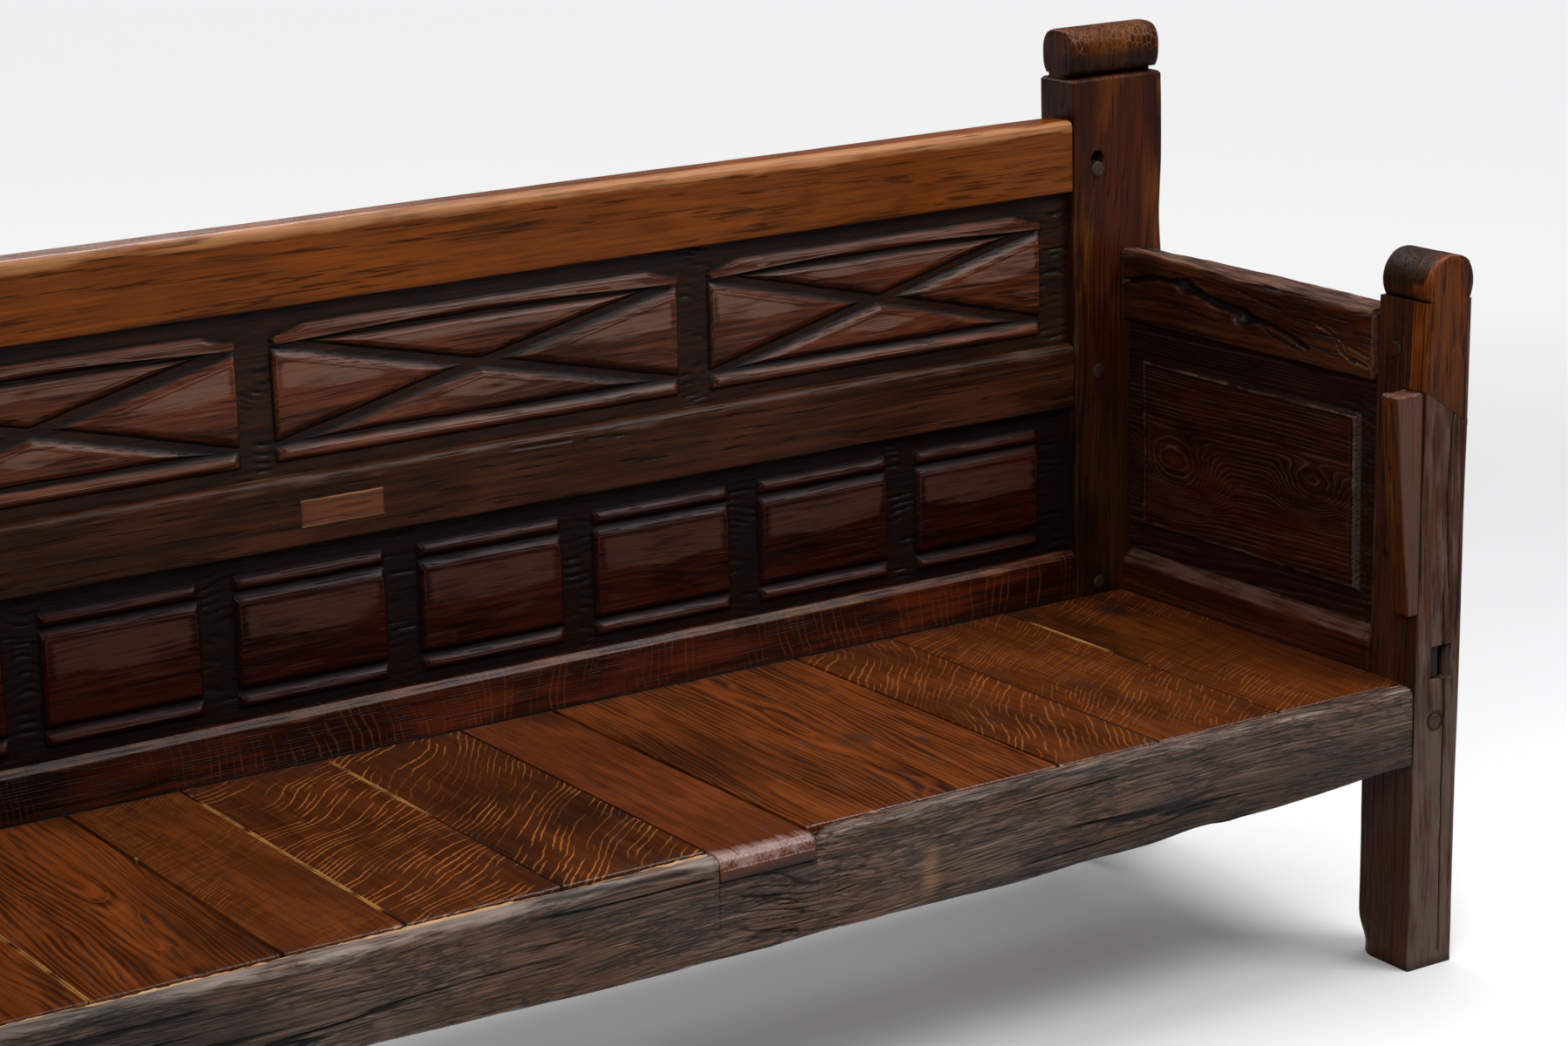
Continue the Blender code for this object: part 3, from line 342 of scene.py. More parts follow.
def stretched(stations, corners, radii, low_tenon=None, high_tenon=None, ease=0.002):
    """Adds the ends of a bar to its stations: an eased shoulder, and a tenon where one is given.

    A tenon is (how far it reaches, corners in the same order). Its loop shrinks from the shoulder.
    """
    radii = np.broadcast_to(radii, corners.shape[:2])
    middle = corners.mean(axis=1, keepdims=True)

    def end(index, sign, tenon):
        section = corners[index]
        centre = middle[index]
        size = np.maximum(np.abs(section - centre), 1e-9)
        inner = centre + (section - centre) * (1 - ease / size)
        places = [stations[index], stations[index]]
        shapes = [inner, section]
        curves = [radii[index], radii[index]]
        if tenon is not None:
            reach, outline = tenon
            outline = np.asarray(outline, float)
            small = np.full(len(outline), 0.001)
            places = [reach, stations[index]] + places
            shapes = [outline, outline] + shapes
            curves = [small, small] + curves
            step_in = stations[index] + sign * ease
            places[-1] = step_in
        else:
            places[-1] = stations[index] + sign * ease
        return places, shapes, curves

    low = end(0, 1, low_tenon)
    high = end(-1, -1, high_tenon)
    places = np.concatenate((low[0], stations[1:-1], high[0][::-1]))
    shapes = np.concatenate((low[1], corners[1:-1], high[1][::-1]))
    curves = np.concatenate((low[2], radii[1:-1], high[2][::-1]))
    body = np.zeros(len(places))
    body[len(low[0]):len(places) - len(high[0])] = 1
    return places, shapes, curves, body


class Reading:
    """A socket that reads as a number: a sum on it adds the Math node that works it out."""

    def __init__(self, recipe, socket):
        self.recipe = recipe
        self.socket = socket

    def worked(self, operation, first, second=None):
        values = {0: first} if second is None else {0: first, 1: second}
        return self.recipe.node("ShaderNodeMath", {"operation": operation}, values)

    def __add__(self, other):
        return self.worked("ADD", self, other)

    __radd__ = __add__

    def __sub__(self, other):
        return self.worked("SUBTRACT", self, other)

    def __rsub__(self, other):
        return self.worked("SUBTRACT", other, self)

    def __mul__(self, other):
        return self.worked("MULTIPLY", self, other)

    __rmul__ = __mul__

    def __truediv__(self, other):
        return self.worked("DIVIDE", self, other)

    def fraction(self):
        """What is left over a whole number."""
        return self.worked("FRACT", self)

    def whole(self):
        """The whole number at or below it."""
        return self.worked("FLOOR", self)

    def size(self):
        """Its value without its sign."""
        return self.worked("ABSOLUTE", self)

    def rise(self, low, high):
        """Rises smoothly from 0 at low to 1 at high, also where low is the larger."""
        settings = {"interpolation_type": "SMOOTHSTEP"}
        return self.recipe.node("ShaderNodeMapRange", settings, {0: self, 1: low, 2: high})


class Recipe:
    """The nodes of one finish, around its Principled shader."""

    def __init__(self, name):
        self.material = bpy.data.materials.new(name)
        self.material.use_nodes = True
        self.tree = self.material.node_tree
        self.shader = self.tree.nodes["Principled BSDF"]

    def node(self, kind, settings=None, sockets=None, out=0):
        """Adds a node: its settings first, then the values or links of its sockets."""
        made = self.tree.nodes.new(kind)
        for key, value in (settings or {}).items():
            setattr(made, key, value)
        for key, value in (sockets or {}).items():
            self.feed(made.inputs[key], value)
        return Reading(self, made.outputs[out])

    def feed(self, socket, value):
        """Links a reading to a socket, or sets the socket's own value."""
        if isinstance(value, Reading):
            self.tree.links.new(value.socket, socket)
        else:
            socket.default_value = value

    def times(self, vector, factors):
        """A vector multiplied on each axis by its own factor."""
        return self.node("ShaderNodeVectorMath", {"operation": "MULTIPLY"}, {0: vector, 1: factors})

    def plus(self, vector, other):
        """Two vectors added."""
        return self.node("ShaderNodeVectorMath", {"operation": "ADD"}, {0: vector, 1: other})

    def noise(self, vector, per_metre, detail=2.0, seed=0.0, out=0):
        """Noise from 0 to 1 with its lumps per metre along x and across it."""
        along, across = per_metre
        placed = self.plus(self.times(vector, (along, across, across)), (seed, seed * 1.7, -seed))
        sockets = {"Vector": placed, "Scale": 1.0, "Detail": detail}
        return self.node("ShaderNodeTexNoise", {}, sockets, out)

    def mix(self, share, first, second):
        """A colour between two colours."""
        first, second = (c if isinstance(c, Reading) else (*c, 1.0) for c in (first, second))
        return self.node("ShaderNodeMix", {"data_type": "RGBA"}, {0: share, 6: first, 7: second}, 2)

    def parts(self, vector):
        """The three numbers of a vector."""
        first = self.node("ShaderNodeSeparateXYZ", {}, {0: vector})
        return [Reading(self, socket) for socket in first.socket.node.outputs]

    def mark(self, name):
        """A number that the piece's mesh holds at its points."""
        return self.node("ShaderNodeAttribute", {"attribute_name": name}, {}, 2)

    def raised(self, height, strength, distance, under=None):
        """A normal from a height, on top of another normal where one is given."""
        sockets = {"Strength": strength, "Distance": distance, "Height": height}
        if under is not None:
            sockets["Normal"] = under
        return self.node("ShaderNodeBump", {}, sockets)

    def give(self, **values):
        """Feeds the shader's sockets, named with _ for each space."""
        for key, value in values.items():
            self.feed(self.shader.inputs[key.replace("_", " ")], value)


GRAIN_TURN = {"X": (0.0, 0.0, 0.0), "Y": (0.0, 0.0, -math.pi / 2), "Z": (0.0, math.pi / 2, 0.0)}


def trunk_turn(axis, lean):
    """How a piece is turned so that the tree's trunk lies along X."""
    return [a + b for a, b in zip(GRAIN_TURN[axis], lean)]


def in_trunk(place, axis, middle, pith, lean, shift):
    """A place on the bench as the place in the tree that it was cut from."""
    turned = Euler(trunk_turn(axis, lean)).to_matrix() @ (Vector(place) - Vector(middle))
    return turned + Vector((shift, pith[0], pith[1]))


def timber(recipe, axis, middle, pith, lean, shift):
    """The place in the tree of each point: x along the trunk, y and z across it from its pith."""
    place = in_trunk((0, 0, 0), axis, middle, pith, lean, shift)
    point = recipe.node("ShaderNodeTexCoord", {}, {}, 3)
    sockets = {"Vector": point, "Location": place, "Rotation": trunk_turn(axis, lean)}
    return recipe.node("ShaderNodeMapping", {"vector_type": "POINT"}, sockets)


# The near-black colour serves dirt, checks, knot hearts and painted shade. The bare colour serves worn wood
# and painted highlights.
OAK = {
    "dark": (0.03, 0.012, 0.006), "mid": (0.09, 0.032, 0.012), "light": (0.16, 0.062, 0.02),
    "bare": (0.3, 0.16, 0.07), "grime": (0.005, 0.003, 0.002), "filled": (0.42, 0.2, 0.055),
    "warm": (0.16, 0.055, 0.009), "warmth": 0.0, "ray_colour": (0.34, 0.105, 0.022), "rays": 0.0,
    "pitch": 0.005, "bend": 0.012, "rings": 0.5, "ring_lines": 0.0, "knots": (),
    "fibre": 0.9, "coarse": 1.1, "cloud": 0.8, "pores": 0.8, "stain": 0.5, "streaks": 0.35,
    "ray_turn": 0.75, "ray_pitch": 0.008, "ray_bend": 13.0,
    "crackle": 0.0, "scratches": 0.0, "checks": 0.0, "wear": 0.6,
    "shine": 0.34, "matt": 0.3, "relief": 0.5, "specular": 0.3,
}


def ray_flecks(made, point, look):
    """Thin broken lines over the grain: the rows of a bent slanting ramp, cut into tapered runs."""
    turn, pitch = look.ray_turn, look.ray_pitch
    wide = made.noise(point, (3.2, 4.5), 1.0, 3.7)
    along, first, second = made.parts(point)
    over = first + second
    fine = made.noise(point, (30.0, 30.0), 1.0, 5.9)
    rows = along * (math.cos(turn) / pitch) + over * (math.sin(turn) / pitch)
    rows = rows + wide * look.ray_bend + fine * 0.9
    line = (rows.fraction() - 0.5).size()
    run = along * (-0.09 * math.sin(turn) / pitch) + over * (0.09 * math.cos(turn) / pitch) + wide * 2.0
    place = made.node("ShaderNodeCombineXYZ", {}, {0: run, 1: rows.whole() * 7.31})
    sockets = {"Vector": place, "Scale": 1.0, "Detail": 1.0}
    dash = made.node("ShaderNodeTexNoise", {"noise_dimensions": "2D"}, sockets).rise(0.40, 0.58)
    strong = made.noise(point, (5.0, 9.0), 1.0, 9.9).rise(0.33, 0.6)
    width = dash * (strong * 0.7 + 0.3) * 0.14
    return (line - width).rise(0.03, -0.04) * dash.rise(0.0, 0.25) * (strong * 0.6 + 0.4)


def crackled(made, point, swirl):
    """A broken net of hair cracks: the borders of warped cells."""
    warped = made.plus(made.times(point, (75.0, 120.0, 120.0)), made.times(swirl, (2.5, 2.5, 2.5)))
    settings = {"feature": "DISTANCE_TO_EDGE"}
    border = made.node("ShaderNodeTexVoronoi", settings, {"Vector": warped, "Scale": 1.0})
    return border.rise(0.07, 0.02) * made.noise(point, (14.0, 30.0), 2.0, 31.0).rise(0.42, 0.56)


def oak(name, axis, middle, pith=(0.12, 0.06), lean=(0.0, 0.02, 0.015), shift=0.0, **look):
    """An oak finish: growth rings round a pith, fibres, pores, ray flecks, stains, wear and dirt, with
    painted highlights and shade.

    Rings are the distance to the pith, bent by noise and pushed out round each knot, over their
    pitch; each starts with a band of dark pores and ends with a thin dark line. Fibres, streaks and
    pores are noise drawn out along the grain, and checks are where such noise crosses its middle.
    The piece's marks say where it is worn bare or carries a painted highlight, where a joint is filled
    with pale wood, and where it is darkened by dirt or by painted shade.
    """
    look = SimpleNamespace(**{**OAK, **look})
    made = Recipe(name)
    point = timber(made, axis, middle, pith, lean, shift)
    swirl = made.noise(point, (2.2, 9.0), 2.0, 1.3, out=1)
    swirl = made.plus(swirl, (-0.5, -0.5, -0.5))
    bent = made.plus(point, made.times(swirl, (look.bend,) * 3))
    flat = made.times(bent, (0.0, 1.0, 1.0))
    across = made.node("ShaderNodeVectorMath", {"operation": "LENGTH"}, {0: flat}, 1)
    uneven = {"W": across * 45.0, "Scale": 1.0, "Detail": 1.0}
    uneven = made.node("ShaderNodeTexNoise", {"noise_dimensions": "1D"}, uneven)
    ring = across / look.pitch + uneven * 1.8
    heart = 0.0
    for spot, reach, count in look.knots:
        place = in_trunk(spot, axis, middle, pith, lean, shift)
        from_knot = made.times(made.plus(bent, -place), (0.55, 1.0, 1.0))
        away = made.node("ShaderNodeVectorMath", {"operation": "LENGTH"}, {0: from_knot}, 1)
        ring = ring + away.rise(reach, reach * 0.1) * count
        heart = away.rise(reach * 0.22, reach * 0.1) * 0.6 + heart
    ring = ring.fraction()
    early = ring.rise(0.0, 0.1) * ring.rise(0.55, 0.2)
    late = ring.rise(0.72, 0.95) * ring.rise(1.0, 0.97)
    fibre = made.noise(bent, (9.0, 300.0), 3.0, 4.1)
    coarse = made.noise(bent, (4.0, 115.0), 3.0, 8.4)
    dash = made.noise(bent, (20.0, 330.0), 0.5, 2.6).rise(0.55, 0.63)
    pore = dash * (early * 0.85 + 0.15)
    cloud = made.noise(point, (3.4, 9.0), 3.0, 6.2)
    patch = made.noise(point, (2.1, 5.0), 4.0, 11.7)
    streak = made.noise(bent, (1.8, 36.0), 3.0, 21.0).rise(0.53, 0.66) * look.streaks

    tone = (fibre - 0.5) * look.fibre + (coarse - 0.5) * look.coarse + 0.5
    tone = tone + (0.3 - early) * (look.rings * 0.4) - late * (look.rings * 0.35)
    tone = tone + (cloud - 0.5) * look.cloud
    colour = made.mix(tone.rise(0.05, 0.5), look.dark, look.mid)
    colour = made.mix(tone.rise(0.45, 0.95), colour, look.light)
    if look.warmth:
        warm = made.noise(bent, (5.0, 13.0), 3.0, 17.0) + (coarse - 0.5) * 0.5
        colour = made.mix(warm.rise(0.44, 0.68) * look.warmth, colour, look.warm)
    if look.rays:
        fleck = ray_flecks(made, point, look)
        colour = made.mix(fleck * look.rays, colour, look.ray_colour)
    colour = made.mix(pore * look.pores, colour, shade(look.dark, 0.7))
    colour = made.mix(streak, colour, look.dark)
    colour = made.mix(patch.rise(0.52, 0.68) * look.stain, colour, shade(look.dark, 0.8))
    if look.knots:
        colour = made.mix(heart, colour, look.grime)
    if look.checks:
        split = (made.noise(bent, (24.0, 185.0), 2.0, 14.3) - 0.5).size().rise(0.085, 0.03)
        dry = made.noise(point, (8.0, 26.0), 2.0, 15.1).rise(0.38, 0.56)
        split = split * dry * look.checks
        colour = made.mix(split, colour, look.grime)

    rub = made.noise(point, (14.0, 60.0), 3.0, 5.5)
    # The wear mark lightens towards the bare colour: real wear, and on some pieces a painted highlight or
    # sheen.
    worn = made.mark("wear") + (rub - 0.5) * 1.3 + (fibre - 0.5) * 0.9
    worn = (worn - 0.45).rise(0.0, 0.6) * look.wear
    colour = made.mix(worn, colour, look.bare)
    # Light scratches along the grain, which also stand for painted glints on tool marks.
    if look.scratches:
        scratch_glint = made.noise(point, (7.0, 290.0), 1.0, 7.7).rise(0.62, 0.72)
        colour = made.mix(scratch_glint * look.scratches, colour, look.bare)
    if look.ring_lines:
        line = ring.rise(0.74, 0.88) * ring.rise(1.0, 0.94) * rub.rise(0.36, 0.6)
        colour = made.mix(line * look.ring_lines, colour, look.bare)
    if look.crackle:
        net = crackled(made, point, swirl) * made.mark("crackled") * look.crackle
        colour = made.mix(net, colour, look.bare)
    filled = made.mark("pale") * (fibre - 0.5 + 0.75).rise(0.3, 0.8)
    colour = made.mix(filled, colour, look.filled)
    # The dark mark darkens towards the near-black colour: dirt, and on many pieces painted shade in hollows,
    # creases, under parts and where parts meet.
    grime = made.mark("grime") * (rub * 0.5 + 0.7)
    colour = made.mix(grime.rise(0.02, 0.95), colour, look.grime)

    dull = (rub - 0.5) * look.matt + pore * 0.2 + (fibre - 0.5) * 0.2
    height = (fibre - 0.5) * 0.7 - pore * 0.9 + (coarse - 0.5) * 1.1 - early * 0.15 - late * 0.15
    if look.checks:
        height = height - split * 1.6
    normal = made.raised(height, look.relief, 0.0008)
    normal = made.raised(made.noise(point, (16.0, 42.0), 2.0, 0.4), 0.3, 0.0025, normal)
    roughness = dull + look.shine + grime * 0.25
    made.give(Base_Color=colour, Roughness=roughness, Specular_IOR_Level=look.specular, Normal=normal)
    return made.material


def middle_of(node):
    """The middle of a CAD node's box."""
    low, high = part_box(node)
    return (low + high) / 2


def dress(node, axis, slot, shells, crease=38, **look):
    """Puts oak shells on the bench in a node's place, with their grain along an axis."""
    material = oak(node + "_oak", axis, middle_of(node), **look)
    piece("worn_" + node, shells, material, [node], crease)


RIGHT_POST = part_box("back_post_right")
FRONT_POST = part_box("front_post_right")
INNER_X = RIGHT_POST[0].x
OUTER_X = RIGHT_POST[1].x
BACK_PLANE = RIGHT_POST[0].y
FRONT_FACE = FRONT_POST[0].y
POST_INNER = FRONT_POST[0].x
POST_BACK = FRONT_POST[1].y
SEAT_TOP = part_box("seat_board_02")[1].z
SEAT_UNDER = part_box("seat_board_02")[0].z


def number(name, description, default, **kind):
    """A number that a user may change."""
    return FloatProperty(name=name, description=description, default=default, **kind)


def length(name, description, default):
    """A length that a user may change, in metres."""
    return number(name, description, default, unit="LENGTH")


def power(name, description, default):
    """A lamp's power that a user may change, in watts."""
    return number(name, description, default, unit="POWER")


def angle(name, description, degrees):
    """An angle that a user may change."""
    return number(name, description, math.radians(degrees), subtype="ANGLE")


def tint(name, description, default):
    """A colour that a user may change."""
    return FloatVectorProperty(
        name=name, description=description, default=default, subtype="COLOR", size=3, min=0, max=1
    )


class BenchWear(bpy.types.PropertyGroup):
    """How far age has worked on the bench."""

    post_edge: length("Post edges", "Radius to which the posts' edges are rubbed down", 0.0045)
    rail_sag: length("Front rail belly", "How far its lower edge bows down in the middle", 0.0115)
    weathering: length("Weathering", "Depth of the furrows in the front rail", 0.0013)
    carving_slope: length("Carved slope", "Width of the slope round a carved field", 0.012)
    joint_width: length("Open joint", "Width of the widest joints between seat boards", 0.0044)
    finial_notch: length("Finial notch", "Depth of the notch under the roll on a back post", 0.014)


class BenchColours(bpy.types.PropertyGroup):
    """The colours of the bench's finishes."""

    golden: tint("Top rail", "Golden oak of the top rail", (0.138, 0.0325, 0.0036))
    dark_rail: tint("Middle rail", "Dark red-brown of the middle rail", (0.0255, 0.0072, 0.0028))
    carved: tint("Carved fields", "Waxed red-brown of the upper fields", (0.060, 0.0155, 0.0058))
    carved_low: tint("Lower fields", "Very dark red of the square fields", (0.0175, 0.0027, 0.0013))
    skirting: tint("Bottom rail", "Orange-brown of the rail at the seat", (0.0172, 0.0027, 0.0007))
    seat: tint("Seat", "Orange-brown of the seat boards", (0.125, 0.028, 0.0042))
    nose: tint("Nosed board", "Pinkish brown of the board over the rail", (0.088, 0.019, 0.004))
    weathered: tint("Front rail", "Grey-brown of the weathered rail", (0.134, 0.082, 0.0625))
    post: tint("Back posts", "Brown of the back posts", (0.042, 0.0085, 0.0024))
    front_post: tint("Front posts", "Duller brown of the front posts", (0.060, 0.0180, 0.0080))
    wedge: tint("Wedge", "Glossy orange-brown of the wedge's side", (0.105, 0.03, 0.0075))
    arm: tint("Arm rails", "Brown of the arm rails", (0.034, 0.0067, 0.0025))
    panel: tint("End panels", "Very dark red of the end panels", (0.024, 0.0048, 0.0028))
    repair: tint("Repairs", "Lighter oak of the repairs", (0.148, 0.037, 0.0065))
    peg: tint("Pegs", "Brown end grain of the pegs", (0.034, 0.0125, 0.006))


class BenchStage(bpy.types.PropertyGroup):
    """The floor, lamps and camera round the bench."""

    floor: tint("Floor", "Pale colour of the floor", (0.93, 0.93, 0.935))
    key_power: power("Key lamp", "Power of the broad lamp overhead", 50.0)
    right_power: power("Right lamp", "Power of the lamp at the front right", 16.0)
    fill_power: power("Fill lamp", "Power of the soft lamp at the front left", 24.0)
    rear_power: power("Rear lamp", "Power of the lamp behind the bench", 14.0)
    sky: number("Sky", "Strength of the even light around", 0.16)
    camera_lens: number("Lens", "Focal length for a 36 mm wide frame, in mm", 89.203)
    camera_place: FloatVectorProperty(
        name="Camera place",
        description="Where the camera stands",
        default=(-2.24106, -3.81189, 1.83569),
        subtype="TRANSLATION",
        unit="LENGTH",
    )
    camera_azimuth: angle("Azimuth", "How far the camera looks to the right of straight on", 33.22795)
    camera_drop: angle("Drop", "How far the camera looks down", 14.62932)
    camera_roll: angle("Roll", "How far the camera leans to the right", 1.49404)


def shade(colour, factor):
    """A colour made darker or lighter by a factor."""
    return tuple(min(1.0, channel * factor) for channel in colour)


def hues(colour, dark=0.3, light=1.7):
    """The dark, middle and light tone of a wood colour."""
    return {"dark": shade(colour, dark), "mid": tuple(colour), "light": shade(colour, light)}


PEG_X = INNER_X + 0.040
OLD_HOLE = (PEG_X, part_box("back_peg_top_right")[1].z + 0.003, 0.0099)
BACK_SHOULDER = 1.091
ROLL_LIP = 0.006
ROLL_POWER = 2.6
ROLL_RADIUS = 0.034


def back_post(end, wear, colours):
    """A back post: a worn rectangle carried up to its shoulder, then its neck, notch and roll.

    At each height the roll's front and back are a rounded square's two halves, |y|^2.6 + |z|^2.6 = r^2.6.
    """
    side = ENDS[end]
    seed = 11 if side > 0 else 47
    crown = RIGHT_POST[1].z
    back = RIGHT_POST[1].y
    fine = [(OLD_HOLE[1] - 0.014, OLD_HOLE[1] + 0.014, 0.0012)]
    shaft = spread(0.0, BACK_SHOULDER - 0.003, 0.007, fine)
    centre_y, centre_z = BACK_PLANE + 0.004 + ROLL_RADIUS, crown - ROLL_RADIUS
    angles = np.radians(np.linspace(-48, 90, 38))
    rise = centre_z + ROLL_RADIUS * np.sin(angles)
    neck = np.linspace(BACK_SHOULDER, rise[0] - 0.0005, 5)
    heights = np.concatenate((shaft, [BACK_SHOULDER - 0.001, BACK_SHOULDER], neck, rise))
    body = heights <= BACK_SHOULDER - 0.0009
    body[len(shaft) + 1] = True
    count = len(heights)
    places = on_axis("Z", heights)
    wane = 0.0015 + 0.0012 * rough(places, (1, 1, 9), seed, 3)
    wane = wane + 0.0035 * bump(0.90, 0.05, heights) + 0.002 * bump(0.70, 0.03, heights)
    x0 = np.full(count, INNER_X) + 0.0006 * (1 + rough(places, (1, 1, 14), seed + 3))
    x1 = OUTER_X - wane
    off = limited(np.abs(heights - centre_z) / ROLL_RADIUS)
    half = ROLL_RADIUS * (1 - off ** ROLL_POWER) ** (1 / ROLL_POWER)
    climb = limited((heights - BACK_SHOULDER) / (rise[0] - BACK_SHOULDER))
    undercut = centre_y - half[len(shaft) + 2 + len(neck)] + wear.finial_notch
    y0 = np.where(heights < rise[0], undercut, centre_y - half)
    cove = quarter_round(1 - climb * 2.2, 0.008)
    y1 = np.where(heights < rise[0], back - 0.015 + cove, centre_y + half)
    y0 = np.where(body, BACK_PLANE, y0)
    y1 = np.where(body, back, y1)
    pull = quarter_round((heights - crown) / ROLL_LIP + 1, ROLL_LIP)
    shoulder = 0.0025 * step(BACK_SHOULDER - 0.003, BACK_SHOULDER, heights) * body
    roll = (~body).astype(float)
    x0 = x0 + pull + shoulder + roll * 0.0015
    x1 = x1 - pull - shoulder - roll * 0.001
    y0, y1 = y0 + shoulder * body, y1 - shoulder * body
    corners = box_corners(count, x0, x1, y0, y1)
    radii = np.full((count, 4), wear.post_edge)
    radii[:, 0] *= 0.7 + 0.3 * rough(places, (1, 1, 6), seed + 5)
    radii[:, 1] *= 1.3 + 0.5 * rough(places, (1, 1, 8), seed + 6)
    radii = np.where(body[:, None], radii, 0.006)
    front = spread(x0[0], x1[0], 0.007, [(PEG_X - 0.013, PEG_X + 0.013, 0.0013)])
    sides = [shares(front), evenly(12), evenly(18), evenly(12)]
    flat, edge = loops(corners, radii, sides, worn=(0.9, 1, 0.6, 0.6), fade=0.006)
    grid, normal = swept("Z", heights, flat)
    keep = step(0.0, 0.01, heights)[:, None] * (1 - 0.6 * roll[:, None])
    dent = 0.0007 * (rough(grid, (14, 14, 5), seed + 8, 3) - 0.6) * keep
    grid = pushed(grid, normal, dent)
    x, y, z = coordinates(grid)
    hole_away = np.hypot(x - OLD_HOLE[0], z - OLD_HOLE[1])
    on_front = np.abs(y - BACK_PLANE) < 0.003
    # The old hole is sunk and darkened inside: painted shade.
    sunk = step(OLD_HOLE[2] + 0.0006, OLD_HOLE[2] - 0.0006, hole_away) * on_front
    grid[..., 1] += 0.012 * sunk
    in_front = step(centre_y, centre_y - 0.02, y)
    # Painted shade in the notch under the roll, on the roll's underside, low on the post and beside the
    # rails.
    notch_shade = roll[:, None] * step(rise[0] + 0.004, rise[0] - 0.001, z) * in_front
    roll_underside_shade = roll[:, None] * step(centre_z + 0.012, centre_z - 0.008, z) * 0.62 * in_front
    foot_shade = 0.62 * step(0.86, 0.55, z + 0.05 * rough(grid, (14, 1, 5), seed + 12, 3))
    rail_shade = 0.45 * step(INNER_X + 0.03, INNER_X + 0.004, x) * step(0.99, 0.93, z)
    grime = most(sunk, notch_shade, roll_underside_shade, foot_shade, rail_shade)
    top = step(crown - 0.02, crown, z) * (0.5 + 0.5 * step(INNER_X, OUTER_X, x))
    marks = {"wear": np.maximum(edge * 0.55, top * 0.55), "grime": limited(grime)}
    marks["crackled"] = roll[:, None] * step(centre_z - 0.01, centre_z + 0.01, z)
    grid = grid * (side, 1, 1)
    node = "back_post_" + end
    dress(
        node, "Z", "back_post_oak", [tube(grid, marks)], pith=(0.03, 0.09 * side),
        lean=(0.0, -0.05, 0.03), shift=seed * 0.37, **hues(colours.post, 0.26, 1.9),
        bare=(0.24, 0.10, 0.03), warm=(0.13, 0.037, 0.006), warmth=0.75, rings=0.35, coarse=0.45,
        fibre=0.7, cloud=1.2, streaks=0.12, bend=0.05, stain=0.8, pitch=0.009, crackle=0.5, shine=0.31,
        specular=0.08, wear=0.6,
    )


def lean_of(heights):
    """How far the front posts' inner and outer faces lean outwards at a height, on parabolas."""
    inner = -0.0078 + 0.0155 * heights + 0.0105 * heights ** 2
    outer = -0.0074 + 0.0150 * heights + 0.0045 * heights ** 2
    return inner, outer


TWIST = 0.35


def inner_face(height, y):
    """Where a front post's inner face lies: its lean is less towards the back edge."""
    share = (y - FRONT_FACE) / (POST_BACK - FRONT_FACE)
    return POST_INNER + lean_of(height)[0] * (1 - TWIST * share)


MORTISE = (POST_INNER + 0.025, POST_INNER + 0.057, 0.384, 0.427)
FRONT_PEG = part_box("front_peg_right")
REPAIR_EDGE = OUTER_X - 0.009
SCARF_IN, SCARF_OUT = 0.765, 0.719
SCARF = (SCARF_IN + SCARF_OUT) / 2
SCARF_SLOPE = (SCARF_OUT - SCARF_IN) / (REPAIR_EDGE - POST_INNER)
REPAIR_BACK = FRONT_FACE + 0.033
FRONT_SHOULDER = 0.869
ARCH_RADIUS = 0.037
ARCH_MIDDLE = FRONT_SHOULDER + 0.021
ARCH_LIP = 0.005
POST_MIDDLE = (POST_INNER + OUTER_X) / 2
SMALL_HOLE = (-0.270, 0.540, 0.0028)


def arch(heights):
    """The front finial's half width: a circle over the shoulder, curling in at its foot."""
    return np.sqrt(np.maximum(ARCH_RADIUS ** 2 - (heights - ARCH_MIDDLE) ** 2, 0))


def finial_heights(shaft):
    """A shaft's heights, its shoulder twice, and the arch's at even steps round its circle."""
    curve = ARCH_MIDDLE + ARCH_RADIUS * np.sin(np.radians(np.linspace(-34.6, 90, 26)))
    curve[-1] = FRONT_POST[1].z
    heights = np.concatenate((shaft, [FRONT_SHOULDER, FRONT_SHOULDER], curve[1:]))
    return heights, np.arange(len(heights)) > len(shaft)


def slant(grid, heights):
    """Leans the loops near the scarf, so that it falls from the inner edge outwards."""
    near = np.maximum(0, 1 - np.abs(heights - SCARF) / 0.09)
    grid[..., 2] += near[:, None] * SCARF_SLOPE * (grid[..., 0] - (POST_INNER + REPAIR_EDGE) / 2)


